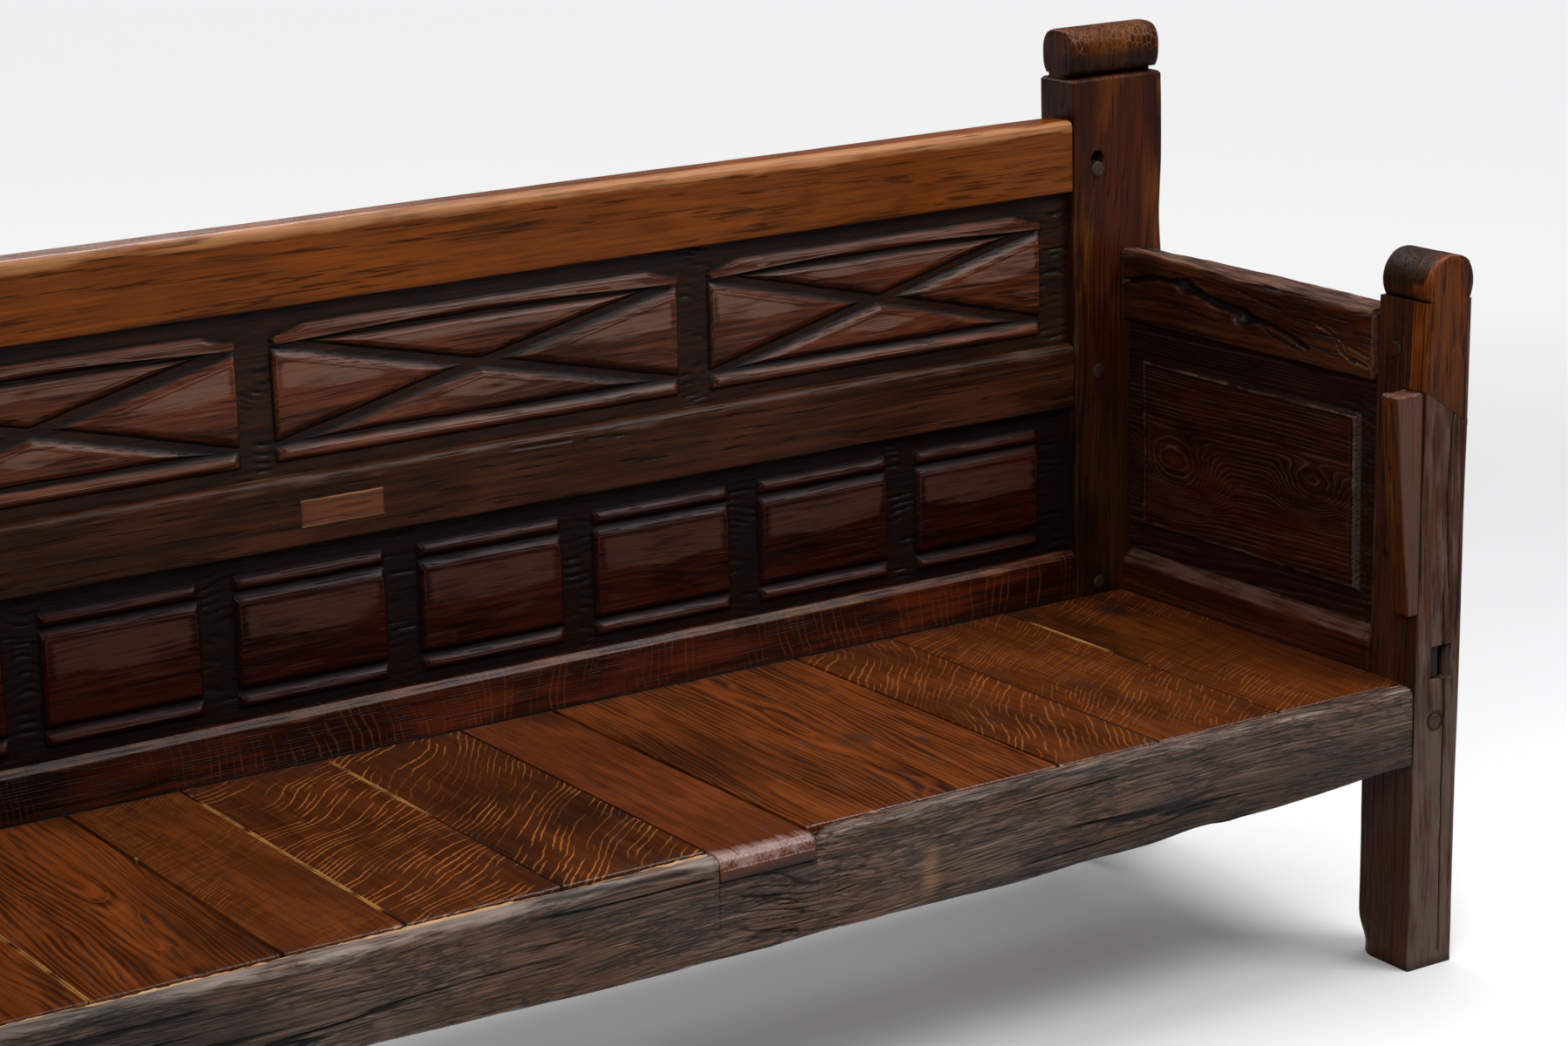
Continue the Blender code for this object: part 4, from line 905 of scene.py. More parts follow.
def front_post(end, wear, colours):
    """A front post: a leaning rectangle carried up to its shoulder, then an arch.

    On the right post a corner of the section is left out above the scarf, for the new block.
    """
    side = ENDS[end]
    seed = 23 if side > 0 else 71
    crown = FRONT_POST[1].z
    repaired = side > 0
    peg_x, peg_z = (FRONT_PEG[0].x + FRONT_PEG[1].x) / 2, (FRONT_PEG[0].z + FRONT_PEG[1].z) / 2
    fine = [(MORTISE[2] - 0.005, MORTISE[3] + 0.008, 0.0016), (peg_z - 0.016, peg_z + 0.016, 0.0016)]
    hole_y, hole_z, hole_size = SMALL_HOLE
    fine.append((hole_z - 0.011, hole_z + 0.011, 0.0013))
    shaft = spread(0.0, FRONT_SHOULDER - 0.002, 0.007, fine)
    if repaired:
        shaft = np.sort(np.append(shaft[np.abs(shaft - SCARF) > 0.002], (SCARF, SCARF + 0.0001)))
    heights, roll = finial_heights(shaft)
    count = len(heights)
    inner_lean, outer_lean = lean_of(heights)
    places = on_axis("Z", heights)
    x0 = POST_INNER + inner_lean + 0.0008 * (1 + rough(places, (1, 1, 10), seed))
    x1 = OUTER_X + outer_lean - 0.0012 * (1 + rough(places, (1, 1, 9), seed + 1, 3))
    shift = (inner_lean + outer_lean) / 2
    half = arch(heights)
    x0 = np.where(roll, POST_MIDDLE + shift - half, x0)
    x1 = np.where(roll, POST_MIDDLE + shift + half, x1)
    lip = quarter_round((heights - crown) / ARCH_LIP + 1, ARCH_LIP)
    y0, y1 = FRONT_FACE + lip, POST_BACK - lip + 0.010 * step(0.324, 0.312, heights)
    foot = 0.016 * step(0.065, 0.0, heights) * (1 + 0.4 * rough(places, (1, 1, 60), seed + 2))
    cut = np.where((heights > SCARF + 0.00005) & repaired, 1.0, 0.0)
    hold_x = np.maximum(np.minimum(REPAIR_EDGE + outer_lean, x1), x0)
    far_x = np.where(roll, x0, x0 - TWIST * inner_lean)
    deep = REPAIR_BACK - FRONT_FACE
    left = (x0 + (far_x - x0) * deep / (POST_BACK - FRONT_FACE), y0 + deep)
    inside = (x0 + (hold_x - x0) * cut, y0 + deep * cut)
    corners = outlined((hold_x, y0), (x1, y0), (x1, y1), (far_x, y1), left, inside)
    radii = np.full((count, 6), wear.post_edge)
    radii[:, 0] = 0.0012 * cut
    radii[:, 1] *= 1.2 + 0.5 * rough(places, (1, 1, 9), seed + 4)
    radii[:, 3] += foot
    radii[:, 4] = 0.0012 * cut
    radii[:, 5] = np.where(cut > 0, 0.001, wear.post_edge * 0.8)
    radii[roll, 1:4] = 0.005
    front = spread(POST_INNER, REPAIR_EDGE, 0.006, [(MORTISE[0] - 0.009, MORTISE[1] + 0.003, 0.0016)])
    rear = spread(REPAIR_BACK, POST_BACK, 0.0045, [(hole_y - 0.005, hole_y + 0.005, 0.0011)])
    sides = [evenly(3), evenly(16), evenly(14), 1 - shares(rear)[::-1]]
    sides += [shares(spread(FRONT_FACE, REPAIR_BACK, 0.005)), shares(front)]
    flat, edge = loops(corners, radii, sides, worn=(0.4, 1, 0.7, 0.8, 0.4, 0.9), fade=0.006)
    grid, normal = swept("Z", heights, flat)
    if repaired:
        slant(grid, heights)
    still = np.abs(heights - SCARF)[:, None] > 0.002
    keep = step(0.0, 0.01, heights)[:, None] * still
    grid = pushed(grid, normal, 0.0007 * (rough(grid, (16, 16, 5), seed + 8, 3) - 0.6) * keep)
    x, y, z = coordinates(grid)
    on_front = np.abs(y - FRONT_FACE) < 0.004
    top_z = MORTISE[3] + 0.0015 * rough(grid, (160, 1, 1), seed + 11)
    opened = within(MORTISE[0], MORTISE[1], 0.001, x) * within(MORTISE[2], top_z, 0.001, z) * on_front
    peg_away = np.hypot(x - peg_x, z - peg_z)
    ringed = bump(0.0125, 0.0018, peg_away) * on_front
    grid[..., 1] += 0.031 * opened + 0.0012 * ringed + 0.002 * step(0.0115, 0.0105, peg_away) * on_front
    hole = step(hole_size + 0.0007, hole_size - 0.0007, np.hypot(y - hole_y, (z - hole_z) * 0.4))
    hole = hole * (np.abs(x - inner_face(z, y)) < 0.004) * repaired
    grid[..., 0] += 0.010 * hole
    chip = bump(POST_INNER, 0.01, x) * bump(POST_BACK, 0.012, y) * step(0.055, 0.01, z)
    grid[..., 0] += 0.004 * chip
    grid[..., 1] -= 0.004 * chip
    wander = 0.0012 * rough(grid, (1, 1, 30), seed + 13, 3)
    runs = ([(1.026, 0.02), (1.029, 0.33), (1.025, 0.5)], [(1.034, 0.50), (1.030, 0.62), (1.037, 0.74)])
    crack = np.minimum.reduce([far_from(run, x + wander, z) for run in runs])
    crack = step(0.0022, 0.0006, crack) * on_front
    grid[..., 1] += 0.0028 * crack
    notch = roll[:, None] * np.exp(-(z - FRONT_SHOULDER) / 0.006)
    notch = notch * step(FRONT_FACE + 0.001, FRONT_FACE + 0.005, y)
    inner_side = 0.2 * step(0.006, 0.003, np.abs(x - inner_face(z, y)))
    # Painted shade in the mortise, the small hole, the ring round the peg, the notch under the arch and at
    # the floor. The cracks are dark.
    grime = most(opened, hole, crack * 0.9, ringed * 0.8, notch, 0.6 * bump(0.0, 0.012, z))
    grime = np.maximum(grime, inner_side)
    dark_head = 0.6 * step(FRONT_SHOULDER + 0.008, FRONT_SHOULDER + 0.024, z)
    # Painted shade where the end panel meets the post.
    panel_shade = 0.3 * step(POST_BACK - 0.03, POST_BACK, y) * step(0.42, 0.46, z)
    grime = most(grime, dark_head, panel_shade)
    front_rub = step(FRONT_FACE + 0.005, FRONT_FACE + 0.001, y) * (0.6 + 0.32 * step(0.5, 0.3, z))
    marks = {"wear": np.maximum(edge * 0.5, front_rub), "grime": limited(grime)}
    marks["crackled"] = roll[:, None] * step(FRONT_SHOULDER + 0.02, FRONT_SHOULDER + 0.03, z)
    grid = grid * (side, 1, 1)
    node = "front_post_" + end
    dress(
        node, "Z", "front_post_oak", [tube(grid, marks)], pith=(0.10, 0.05), lean=(0.0, 0.01, 0.02),
        shift=seed * 0.31, **hues(colours.front_post, 0.3, 1.55), bare=(0.145, 0.094, 0.075),
        warm=(0.11, 0.032, 0.008), warmth=0.5, rings=0.4, coarse=0.7, pitch=0.007, bend=0.02,
        streaks=0.2, checks=0.45, crackle=0.5, shine=0.33, specular=0.11, relief=0.7, wear=0.85,
    )


def post_block(colours):
    """The newer wood at the head of the right front post: its own section up to the arch."""
    crown = FRONT_POST[1].z
    heights, roll = finial_heights(np.linspace(SCARF + 0.0006, FRONT_SHOULDER - 0.001, 22))
    inner_lean, outer_lean = lean_of(heights)
    middle = POST_MIDDLE + (inner_lean + outer_lean) / 2
    x0 = np.where(roll, middle - arch(heights), POST_INNER + inner_lean + 0.0003)
    edge_x = REPAIR_EDGE + outer_lean - 0.0006
    x1 = np.where(roll, np.minimum(edge_x, middle + arch(heights)), edge_x)
    lip = quarter_round((heights - crown) / ARCH_LIP + 1, ARCH_LIP)
    corners = box_corners(len(heights), x0, x1, FRONT_FACE + lip - 0.0002, REPAIR_BACK - 0.0005)
    radii = np.tile((0.006, 0.0012, 0.001, 0.001), (len(heights), 1))
    sides = [evenly(14), evenly(8)] * 2
    flat, edge = loops(corners, radii, sides, worn=(1, 0.3, 0.1, 0.1), fade=0.006)
    grid, normal = swept("Z", heights, flat)
    slant(grid, heights)
    grid = pushed(grid, normal, 0.0004 * (rough(grid, (20, 20, 8), 91) - 0.4))
    x, y, z = coordinates(grid)
    # The notch under the arch is painted shade.
    notch = roll[:, None] * np.exp(-(z - FRONT_SHOULDER) / 0.005)
    notch = notch * step(FRONT_FACE + 0.002, FRONT_FACE + 0.007, y)
    seam = step(0.0030, 0.0005, np.abs(x - edge_x[:, None]))
    head = step(FRONT_SHOULDER + 0.010, FRONT_SHOULDER + 0.028, z)
    head = head * step(FRONT_FACE + 0.001, FRONT_FACE + 0.006, y + 0.2 * (z - crown))
    on_front = step(FRONT_FACE + 0.004, FRONT_FACE + 0.001, y) * 0.5
    grime = most(notch, seam * 0.8, head * 0.72, on_front)
    marks = {"wear": edge * 0.45, "grime": limited(grime), "crackled": head}
    node = "front_post_repair"
    dress(
        node, "Z", "repair_oak", [tube(grid, marks)], pith=(0.11, 0.02), lean=(0.0, 0.0, 0.04),
        **hues(shade(colours.repair, 1.5), 0.25, 1.4), bare=(0.42, 0.27, 0.16), rings=0.45, coarse=0.5,
        pitch=0.0045, stain=0.6, streaks=0.12, crackle=0.4, shine=0.28, specular=0.11,
    )


def post_wedge(colours):
    """The tapered block at the right front post: a section that narrows downwards."""
    low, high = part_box("front_post_wedge")
    heights = np.concatenate(([low.z, low.z + 0.002], np.linspace(low.z + 0.01, high.z - 0.006, 40)))
    heights = np.concatenate((heights, [high.z - 0.002, high.z]))
    count = len(heights)
    share = (heights - low.z) / (high.z - low.z)
    places = on_axis("Z", heights)
    x1 = high.x + 0.0022 + 0.003 * share
    x0 = high.x - 0.0157 - 0.0225 * share + 0.0012 * rough(places, (1, 1, 25), 5)
    pinch = np.zeros(count)
    pinch[[0, -1]] = 0.002
    corners = box_corners(count, x0 + pinch, x1, low.y + pinch, high.y - pinch)
    sides = [evenly(10)] * 4
    flat, edge = loops(corners, np.array((0.002, 0.001, 0.002, 0.003)), sides, fade=0.004)
    grid, normal = swept("Z", heights, flat)
    grid = pushed(grid, normal, 0.0006 * (rough(grid, (40, 40, 14), 6, 3) - 0.5))
    top = step(high.z - 0.009, high.z - 0.002, grid[..., 2])
    grid[..., 2] += top * 0.0022 * (rough(grid, (140, 140, 1), 9) - 0.6)
    x, y, z = coordinates(grid)
    on_front = step(low.y + 0.004, low.y + 0.001, y)
    on_side = step(0.003, 0.001, np.abs(x - x0[:, None]))
    runs = ([(0.752, -0.322), (0.64, -0.318), (0.56, -0.322)], [(0.70, -0.310), (0.66, -0.312)])
    crack = np.minimum.reduce([far_from(run, z, y + 0.001 * rough(grid, (1, 1, 60), 10)) for run in runs])
    crack = step(0.0018, 0.0004, crack) * on_side
    grid[..., 0] += 0.002 * crack
    # Painted shade at the wedge's foot.
    foot = bump(low.z, 0.004, z) * 0.5
    seam = step(0.0025, 0.0005, np.abs(x - x1[:, None])) * 0.9
    grime = most(foot, seam, crack)
    marks = {"wear": most(edge * 0.6, top, on_front), "grime": limited(grime)}
    dress(
        "front_post_wedge", "Z", "front_post_oak", [tube(grid, marks)], pith=(0.06, 0.08),
        **hues(colours.wedge, 0.35, 1.7), bare=(0.102, 0.049, 0.034), rings=0.4, fibre=0.7, streaks=0.5,
        shine=0.28, wear=0.75, specular=0.13,
    )


TENON_INSET = 0.016


def rail_tenon(sign, low, high):
    """The tenon that a back rail has in its post: its reach and its corners (y, z)."""
    front, back = BACK_PLANE + 0.015, BACK_PLANE + 0.035
    return (INNER_X + 0.060) * sign, rectangle(front, back, low + TENON_INSET, high - TENON_INSET)


def back_rail(name, rounding, flats, wobble, seed):
    """A back rail: its rectangle, with the front top corner rounded or cut, carried along X."""
    low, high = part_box("back_rail_" + name)
    end = INNER_X - CLOSE
    stations = spread(-end, end, 0.007)
    count = len(stations)
    places = on_axis("X", stations)
    front = BACK_PLANE + 0.0004 * (1 + rough(places, (3, 1, 1), seed))
    top = high.z - wobble * (1 + rough(places, (2.5, 1, 1), seed + 1, 3)) / 2
    bottom = low.z + wobble * (1 + rough(places, (3.5, 1, 1), seed + 2, 3)) / 2
    corners = box_corners(count, front, high.y, bottom, top)
    radii = np.tile((0.003, 0.002, 0.004, rounding), (count, 1))
    radii[:, 3] *= 1 + 0.18 * rough(places, (4, 1, 1), seed + 3, 3)
    tenons = [rail_tenon(sign, low.z, high.z) for sign in (-1, 1)]
    stations, corners, radii, body = stretched(stations, corners, radii, *tenons)
    rise = evenly(26)
    sides = [evenly(9), rise[::2], evenly(9), rise]
    flat, edge = loops(corners, radii, sides, flats, worn=(0.35, 0.2, 0.5, 1), fade=0.007)
    grid, normal = swept("X", stations, flat)
    dent = 0.0006 * (rough(grid, (7, 25, 25), seed + 4, 3) - 0.5) * body[:, None]
    grid = pushed(grid, normal, dent)
    front_side = step(BACK_PLANE + 0.004, BACK_PLANE + 0.001, grid[..., 1])
    return grid, normal, edge, body, front_side


def top_rail(colours):
    """The golden top rail."""
    grid, normal, edge, body, front = back_rail("top", 0.011, (), 0.002, 101)
    nick = step(0.62, 0.85, rough(grid, (60, 60, 160), 131, 1)) * front * body[:, None]
    grid = pushed(grid, normal, -0.0004 * nick)
    x, _, z = coordinates(grid)
    # Painted shade on the underside.
    under = step(z.min() + 0.012, z.min(), z) * 0.4
    spots = ((0.255, 0.972, 0.022), (0.478, 0.985, 0.018), (0.62, 0.96, 0.012), (-0.30, 0.985, 0.012))
    for spot_x, spot_z, reach in spots:
        away = np.hypot((x - spot_x) * 0.5, z - spot_z) / reach
        away = away + 0.8 * rough(grid, (40, 1, 90), 137, 3)
        nick = np.maximum(nick, 1.3 * step(1.1, 0.2, away) * front)
    # The worn front top edge, in the pale bare colour, is also a painted highlight.
    marks = {"wear": edge * 0.95, "grime": limited(np.maximum(under, nick * 0.28))}
    dress(
        "back_rail_top", "X", "golden_rail_oak", [tube(grid, marks)], pith=(0.16, 0.02),
        lean=(0.0, 0.006, 0.01), **hues(colours.golden, 0.28, 1.55), bare=(0.5, 0.235, 0.1),
        warm=shade(colours.golden, 1.5), warmth=0.5, rings=0.4, fibre=1.1, coarse=0.65, stain=0.3,
        streaks=0.12, pitch=0.0055, shine=0.25, relief=0.3, wear=0.5, specular=0.11,
    )


def mid_rail(colours):
    """The dark middle rail with its scribed line, its long crack and the light patch let in."""
    grid, normal, edge, body, front = back_rail("mid", 0.013, (), 0.0025, 151)
    low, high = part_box("back_rail_mid")
    x, z = grid[..., 0], grid[..., 2]
    line = step(0.0018, 0.0004, np.abs(z - (high.z - 0.019))) * front
    path = [(-0.02, 0.727), (0.05, 0.724), (0.12, 0.722), (0.19, 0.718)]
    crack = step(0.0022, 0.0004, far_from(path, x, z)) * front
    dry = step(0.55, 0.8, rough(grid, (9, 60, 190), 158)) * front * bump(0.2, 0.35, x)
    sunk = (0.0006 * line + 0.0022 * crack + 0.0006 * dry) * body[:, None]
    grid = pushed(grid, normal, -sunk)
    # Painted shade on the underside.
    under = step(low.z + 0.01, low.z, z) * 0.5
    grime = most(line * 0.5, crack, dry * 0.5, under)
    marks = {"wear": edge * 0.5, "grime": limited(grime)}
    dress(
        "back_rail_mid", "X", "dark_rail_oak", [tube(grid, marks)], pith=(0.14, 0.05),
        lean=(0.0, 0.01, 0.012), shift=3.1, **hues(colours.dark_rail, 0.3, 2.1),
        bare=(0.13, 0.075, 0.05), warm=shade(colours.dark_rail, 2.6), warmth=0.5, rings=0.4, stain=0.6,
        pitch=0.005, shine=0.33, specular=0.1, wear=0.5,
    )
    low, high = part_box("mid_rail_patch")
    stations = spread(low.x + 0.0005, high.x - 0.0005, 0.004)
    places = on_axis("X", stations)
    drop = 0.0008 * rough(places, (40, 1, 1), 163)
    levels = (low.z + 0.0006 + drop, high.z - 0.0006 + drop)
    corners = box_corners(len(stations), low.y - 0.0004, high.y, *levels)
    stations, corners, radii, _ = stretched(stations, corners, 0.0006, ease=0.0006)
    sides = [evenly(4), evenly(12)] * 2
    flat, edge = loops(corners, radii, sides, worn=(1, 0, 0, 1), fade=0.0012)
    grid = carried("X", stations, flat)
    x, _, z = coordinates(grid)
    rim = np.minimum.reduce([x - low.x, high.x - x, z - low.z, high.z - z])
    marks = {"wear": edge, "grime": 0.35 * step(0.007, 0.001, rim)}
    dress(
        "mid_rail_patch", "X", "repair_oak", [tube(grid, marks)], pith=(0.1, 0.03),
        **hues(shade(colours.repair, 0.78), 0.4, 1.3), bare=(0.5, 0.25, 0.08), rings=0.3, pitch=0.003,
        relief=0.4,
    )


def bottom_rail(colours):
    """The orange-brown rail at the seat, with its worn chamfer."""
    grid, _, edge, _, front = back_rail("bottom", 0.008, (3,), 0.0012, 201)
    z = grid[..., 2]
    # Painted shade just above the seat.
    seat_shade = step(SEAT_TOP + 0.006, SEAT_TOP, z) * front * 0.8
    marks = {"wear": edge * 0.55, "grime": seat_shade}
    dress(
        "back_rail_bottom", "X", "skirting_oak", [tube(grid, marks)], pith=(0.03, 0.16),
        lean=(0.0, 0.004, 0.0), shift=7.7, **hues(colours.skirting, 0.3, 1.7), bare=(0.24, 0.095, 0.04),
        warm=shade(colours.skirting, 5.0), warmth=0.8, rays=0.22, ray_colour=(0.22, 0.065, 0.011),
        ray_turn=0.15, ray_pitch=0.010, ray_bend=12.0, rings=0.4, stain=0.7, pitch=0.004, shine=0.3,
        specular=0.17,
    )


BOARD_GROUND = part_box("carved_board_upper")[0].y + 0.008
CARVING_RELIEF = 0.008
FIELD_LEVELS = (0.0, 0.1, 0.25, 0.45, 0.66, 0.84, 0.94, 1.0, 1.1)


def inset(outline, widths):
    """How a convex outline's corners move for one unit of inset, each side by its own width.

    At a corner the move m solves n1 . m = w1 and n2 . m = w2, for its two sides' inward normals.
    """
    ahead = np.roll(outline, -1, 0) - outline
    unit = ahead / np.linalg.norm(ahead, axis=1)[:, None]
    normals = np.stack((-unit[:, 1], unit[:, 0]), -1)
    pairs = np.stack((np.roll(normals, 1, 0), normals), axis=1)
    wanted = np.stack((np.roll(widths, 1), widths), -1)
    return np.linalg.solve(pairs, wanted[..., None])[..., 0]


def field(outline, widths, seed, pitch=0.006, crown=0.0006):
    """A raised field: rings that run in from its outline and climb the slope, then a low crown.

    At a share d of the slope the height is (1 - (1 - d)^1.45) of the relief. The outline wanders a
    little, as it was cut by hand.
    """
    outline = np.asarray(outline, float)
    moves = inset(outline, np.asarray(widths, float))
    fractions = []
    for a, b in zip(outline, np.roll(outline, -1, 0)):
        steps = max(4, int(np.hypot(*(b - a)) / pitch))
        ease = np.linspace(0, 1, steps, endpoint=False)
        fractions.append(0.5 * ease + 0.5 * ease * ease * (3 - 2 * ease))
    levels = np.array(FIELD_LEVELS)
    rows = []
    for share in levels:
        corners = outline + moves * share
        sides = zip(corners, np.roll(corners, -1, 0), fractions)
        rows.append(np.concatenate([a + (b - a) * f[:, None] for a, b, f in sides]))
    rows = np.array(rows)
    middle = rows[-1].mean(0)
    inward = np.array((0.12, 0.3, 0.5, 0.7, 0.88))
    inner = middle + (rows[-1] - middle) * (1 - inward)[:, None, None]
    rows = np.concatenate((rows, inner))
    kernel = np.array((1, 2, 3, 2, 1)) / 9.0
    offsets = range(-2, 3)
    soft = sum(k * np.roll(rows, o, 1) for k, o in zip(kernel, offsets))
    rows = rows * 0.35 + soft * 0.65
    share = np.concatenate((levels, np.ones(len(inward))))
    rise = CARVING_RELIEF * (1 - (1 - limited(share)) ** 1.45)
    rise = rise + crown * np.concatenate((0 * levels, np.sin(inward * math.pi / 2)))
    grid = np.empty((len(rows), rows.shape[1], 3))
    grid[..., 0], grid[..., 2] = rows[..., 0], rows[..., 1]
    grid[..., 1] = BOARD_GROUND - rise[:, None]
    wander = rough(grid, (22, 1, 22), seed)[..., None] * (1 - limited(share) * 0.6)[:, None, None]
    grid[..., [0, 2]] += 0.0011 * wander
    dent = rough(grid, (30, 30, 60), seed + 5, 3)
    grid[..., 1] += 0.0003 * (dent + 0.3) * limited(share * 3)[:, None]
    root = grid[:1].copy()
    root[..., 1] = BOARD_GROUND + 0.004
    grid = np.concatenate((root, grid))
    share = np.concatenate(([0], share))[:, None]
    # Crests are lighter: wear, with a painted highlight on those that face up. The low part of each slope
    # gets painted shade.
    ridge = bump(0.98, 0.1, share) * (share <= 1.13)
    low = step(0.66, 0.1, share)
    upward = step(0.0, 0.005, rows[0, :, 1] - rows[len(levels) - 1, :, 1])
    ones = np.ones(grid.shape[:2])
    marks = {"wear": ridge * (0.4 + 0.6 * upward), "grime": low * ones}
    return tube(grid, marks)


def ground(low, high, stiles, seed):
    """A carved board's ground: a slab that shows the tool's strokes on its upright strips."""
    reach = INNER_X + 0.0117
    z0, z1 = low - 0.0117, high + 0.0117
    stations = spread(-reach, reach, 0.006)
    rise = spread(z0, z1, 0.0021)
    corners = box_corners(len(stations), BOARD_GROUND, BOARD_GROUND + 0.020, z0, z1)
    stations, corners, radii, body = stretched(stations, corners, 0.001, ease=0.001)
    back = evenly(24)
    sides = [np.array((0.5,)), back, np.array((0.5,)), shares(rise)]
    flat, edge = loops(corners, radii, sides, worn=(0, 0, 0, 0))
    grid = carried("X", stations, flat)
    x, y, z = coordinates(grid)
    front = np.abs(y - BOARD_GROUND) < 0.003
    ticks = z * 88.0 + 2.6 * rough(grid, (17, 1, 13), seed)
    phase = ticks - np.floor(ticks)
    on_stile = np.zeros_like(phase)
    for x0, x1 in stiles:
        on_stile = np.maximum(on_stile, bump((x0 + x1) / 2, (x1 - x0) * 0.6, x))
    cut = step(0.0, 0.2, phase) * step(0.6, 0.25, phase) * on_stile
    cut = cut * step(-0.1, 0.3, rough(grid, (34, 1, 80), seed + 1)) * front
    saw = rough(grid, (3, 1, 60), seed + 9, 3) * ~front
    saw = saw * (np.abs(y - BOARD_GROUND - 0.02) < 0.002)
    grid[..., 1] += (0.0026 * cut + 0.0006 * rough(grid, (40, 1, 40), seed + 3) * front) * body[:, None]
    grid[..., 1] -= 0.0004 * (1 + saw) * body[:, None] * ~front
    # The crests of the tool strokes get a painted highlight and are less dark. The ground is darkened all
    # over, and more in the cuts.
    crest = bump(0.9, 0.12, phase) * on_stile * front * 0.3
    marks = {"wear": crest + 0 * edge, "grime": (0.74 + 0.26 * cut - 0.35 * crest) * front}
    return tube(grid, marks)


def carved(node, shells, colour, shift, **look):
    """Dresses a carved board: waxed red-brown on the fields, near black on the ground."""
    # The bare colour lights the crests, the stroke crests and the scratches, partly as painted highlights.
    dress(
        node, "X", "carved_board_oak", shells, pith=(0.09, 0.05), lean=(0.0, 0.012, 0.02), shift=shift,
        **hues(colour, 0.3, 2.1), grime=(0.0045, 0.003, 0.0022), warm=shade(colour, 1.9), warmth=0.6,
        rings=0.8, pores=0.7, coarse=0.8, stain=0.6, streaks=0.4, pitch=0.005, bend=0.03, shine=0.25,
        matt=0.25, relief=0.4, wear=0.5, scratches=0.2, **look
    )


def lower_board(wear, colours):
    """The lower carved board: seven square fields, each between two bars with mitred ends."""
    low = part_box("back_rail_bottom")[1].z
    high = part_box("back_rail_mid")[0].z
    margin, between = 0.0545, 0.0434
    width = (2 * (INNER_X - margin) - 6 * between) / 7
    starts = [-INNER_X + margin + index * (width + between) for index in range(7)]
    stiles = [(-INNER_X, starts[0])] + [(x0 + width, x0 + width + between) for x0 in starts]
    shells = [ground(low, high, stiles, 301)]
    slope = wear.carving_slope
    for index, x0 in enumerate(starts):
        x1 = x0 + width
        seed = 310 + 20 * index
        square = rectangle(x0, x1, low + 0.035, high - 0.0455)
        shells.append(field(square, (slope * 0.85, slope * 0.6, slope, slope * 0.6), seed))
        under = rectangle(x0, x1, low + 0.012, low + 0.0335)
        over = rectangle(x0, x1, high - 0.044, high - 0.0225)
        for bar, outline in enumerate((under, over)):
            widths = (0.0085, 0.009, 0.0098, 0.009)
            shells.append(field(outline, widths, seed + 7 + bar, pitch=0.005))
    look = {"bare": (0.07, 0.03, 0.022), "specular": 0.07}
    carved("carved_board_lower", shells, colours.carved_low, 1.9, **look)


def upper_board(wear, colours):
    """The upper carved board: three panels of four triangles that leave an X between them."""
    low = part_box("back_rail_mid")[1].z
    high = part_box("back_rail_top")[0].z
    slope = wear.carving_slope
    z0, z1 = low + 0.040, high - 0.045
    zc = (z0 + z1) / 2
    half, between, margin = 0.284, 0.044, 0.048
    edge = INNER_X - margin
    spans = [(-edge, -half - between), (-half, half), (half + between, edge)]
    stiles = [(-INNER_X, -edge), (-half - between, -half), (half, half + between), (edge, INNER_X)]
    shells = [ground(low, high, stiles, 401)]
    for index, (x0, x1) in enumerate(spans):
        xc = (x0 + x1) / 2
        seed = 410 + 30 * index
        left = [(x0, z0), (xc - 0.024, zc), (x0, z1)]
        right = [(x1, z0), (x1, z1), (xc + 0.024, zc)]
        top = [(x0 + 0.032, z1 + 0.001), (xc, zc + 0.004), (x1 - 0.032, z1 + 0.001)]
        bottom = [(x0 + 0.032, z0 - 0.001), (x1 - 0.032, z0 - 0.001), (xc, zc - 0.004)]
        shells.append(field(left, (slope * 1.1, slope * 1.1, slope * 0.55), seed))
        shells.append(field(right, (slope * 0.55, slope * 1.1, slope * 1.1), seed + 3))
        shells.append(field(top, (slope * 0.95, slope * 0.95, slope * 0.8), seed + 6))
        shells.append(field(bottom, (slope * 0.8, slope * 0.95, slope * 0.95), seed + 9))
        under = rectangle(x0, x1, low + 0.015, low + 0.0375)
        shells.append(field(under, (0.0085, 0.012, 0.010, 0.012), seed + 12, pitch=0.007))
        foot, head = high - 0.0425, high - 0.0195
        tip = 0.045
        over = [(x0, foot), (x1, foot), (x1, foot + 0.007), (x1 - tip, head)]
        over += [(x0 + tip, head), (x0, foot + 0.007)]
        widths = (0.009, 0.004, 0.009, 0.0095, 0.009, 0.004)
        shells.append(field(over, widths, seed + 15, pitch=0.007))
    look = {"bare": (0.19, 0.105, 0.075), "specular": 0.12}
    carved("carved_board_upper", shells, colours.carved, 5.3, **look)


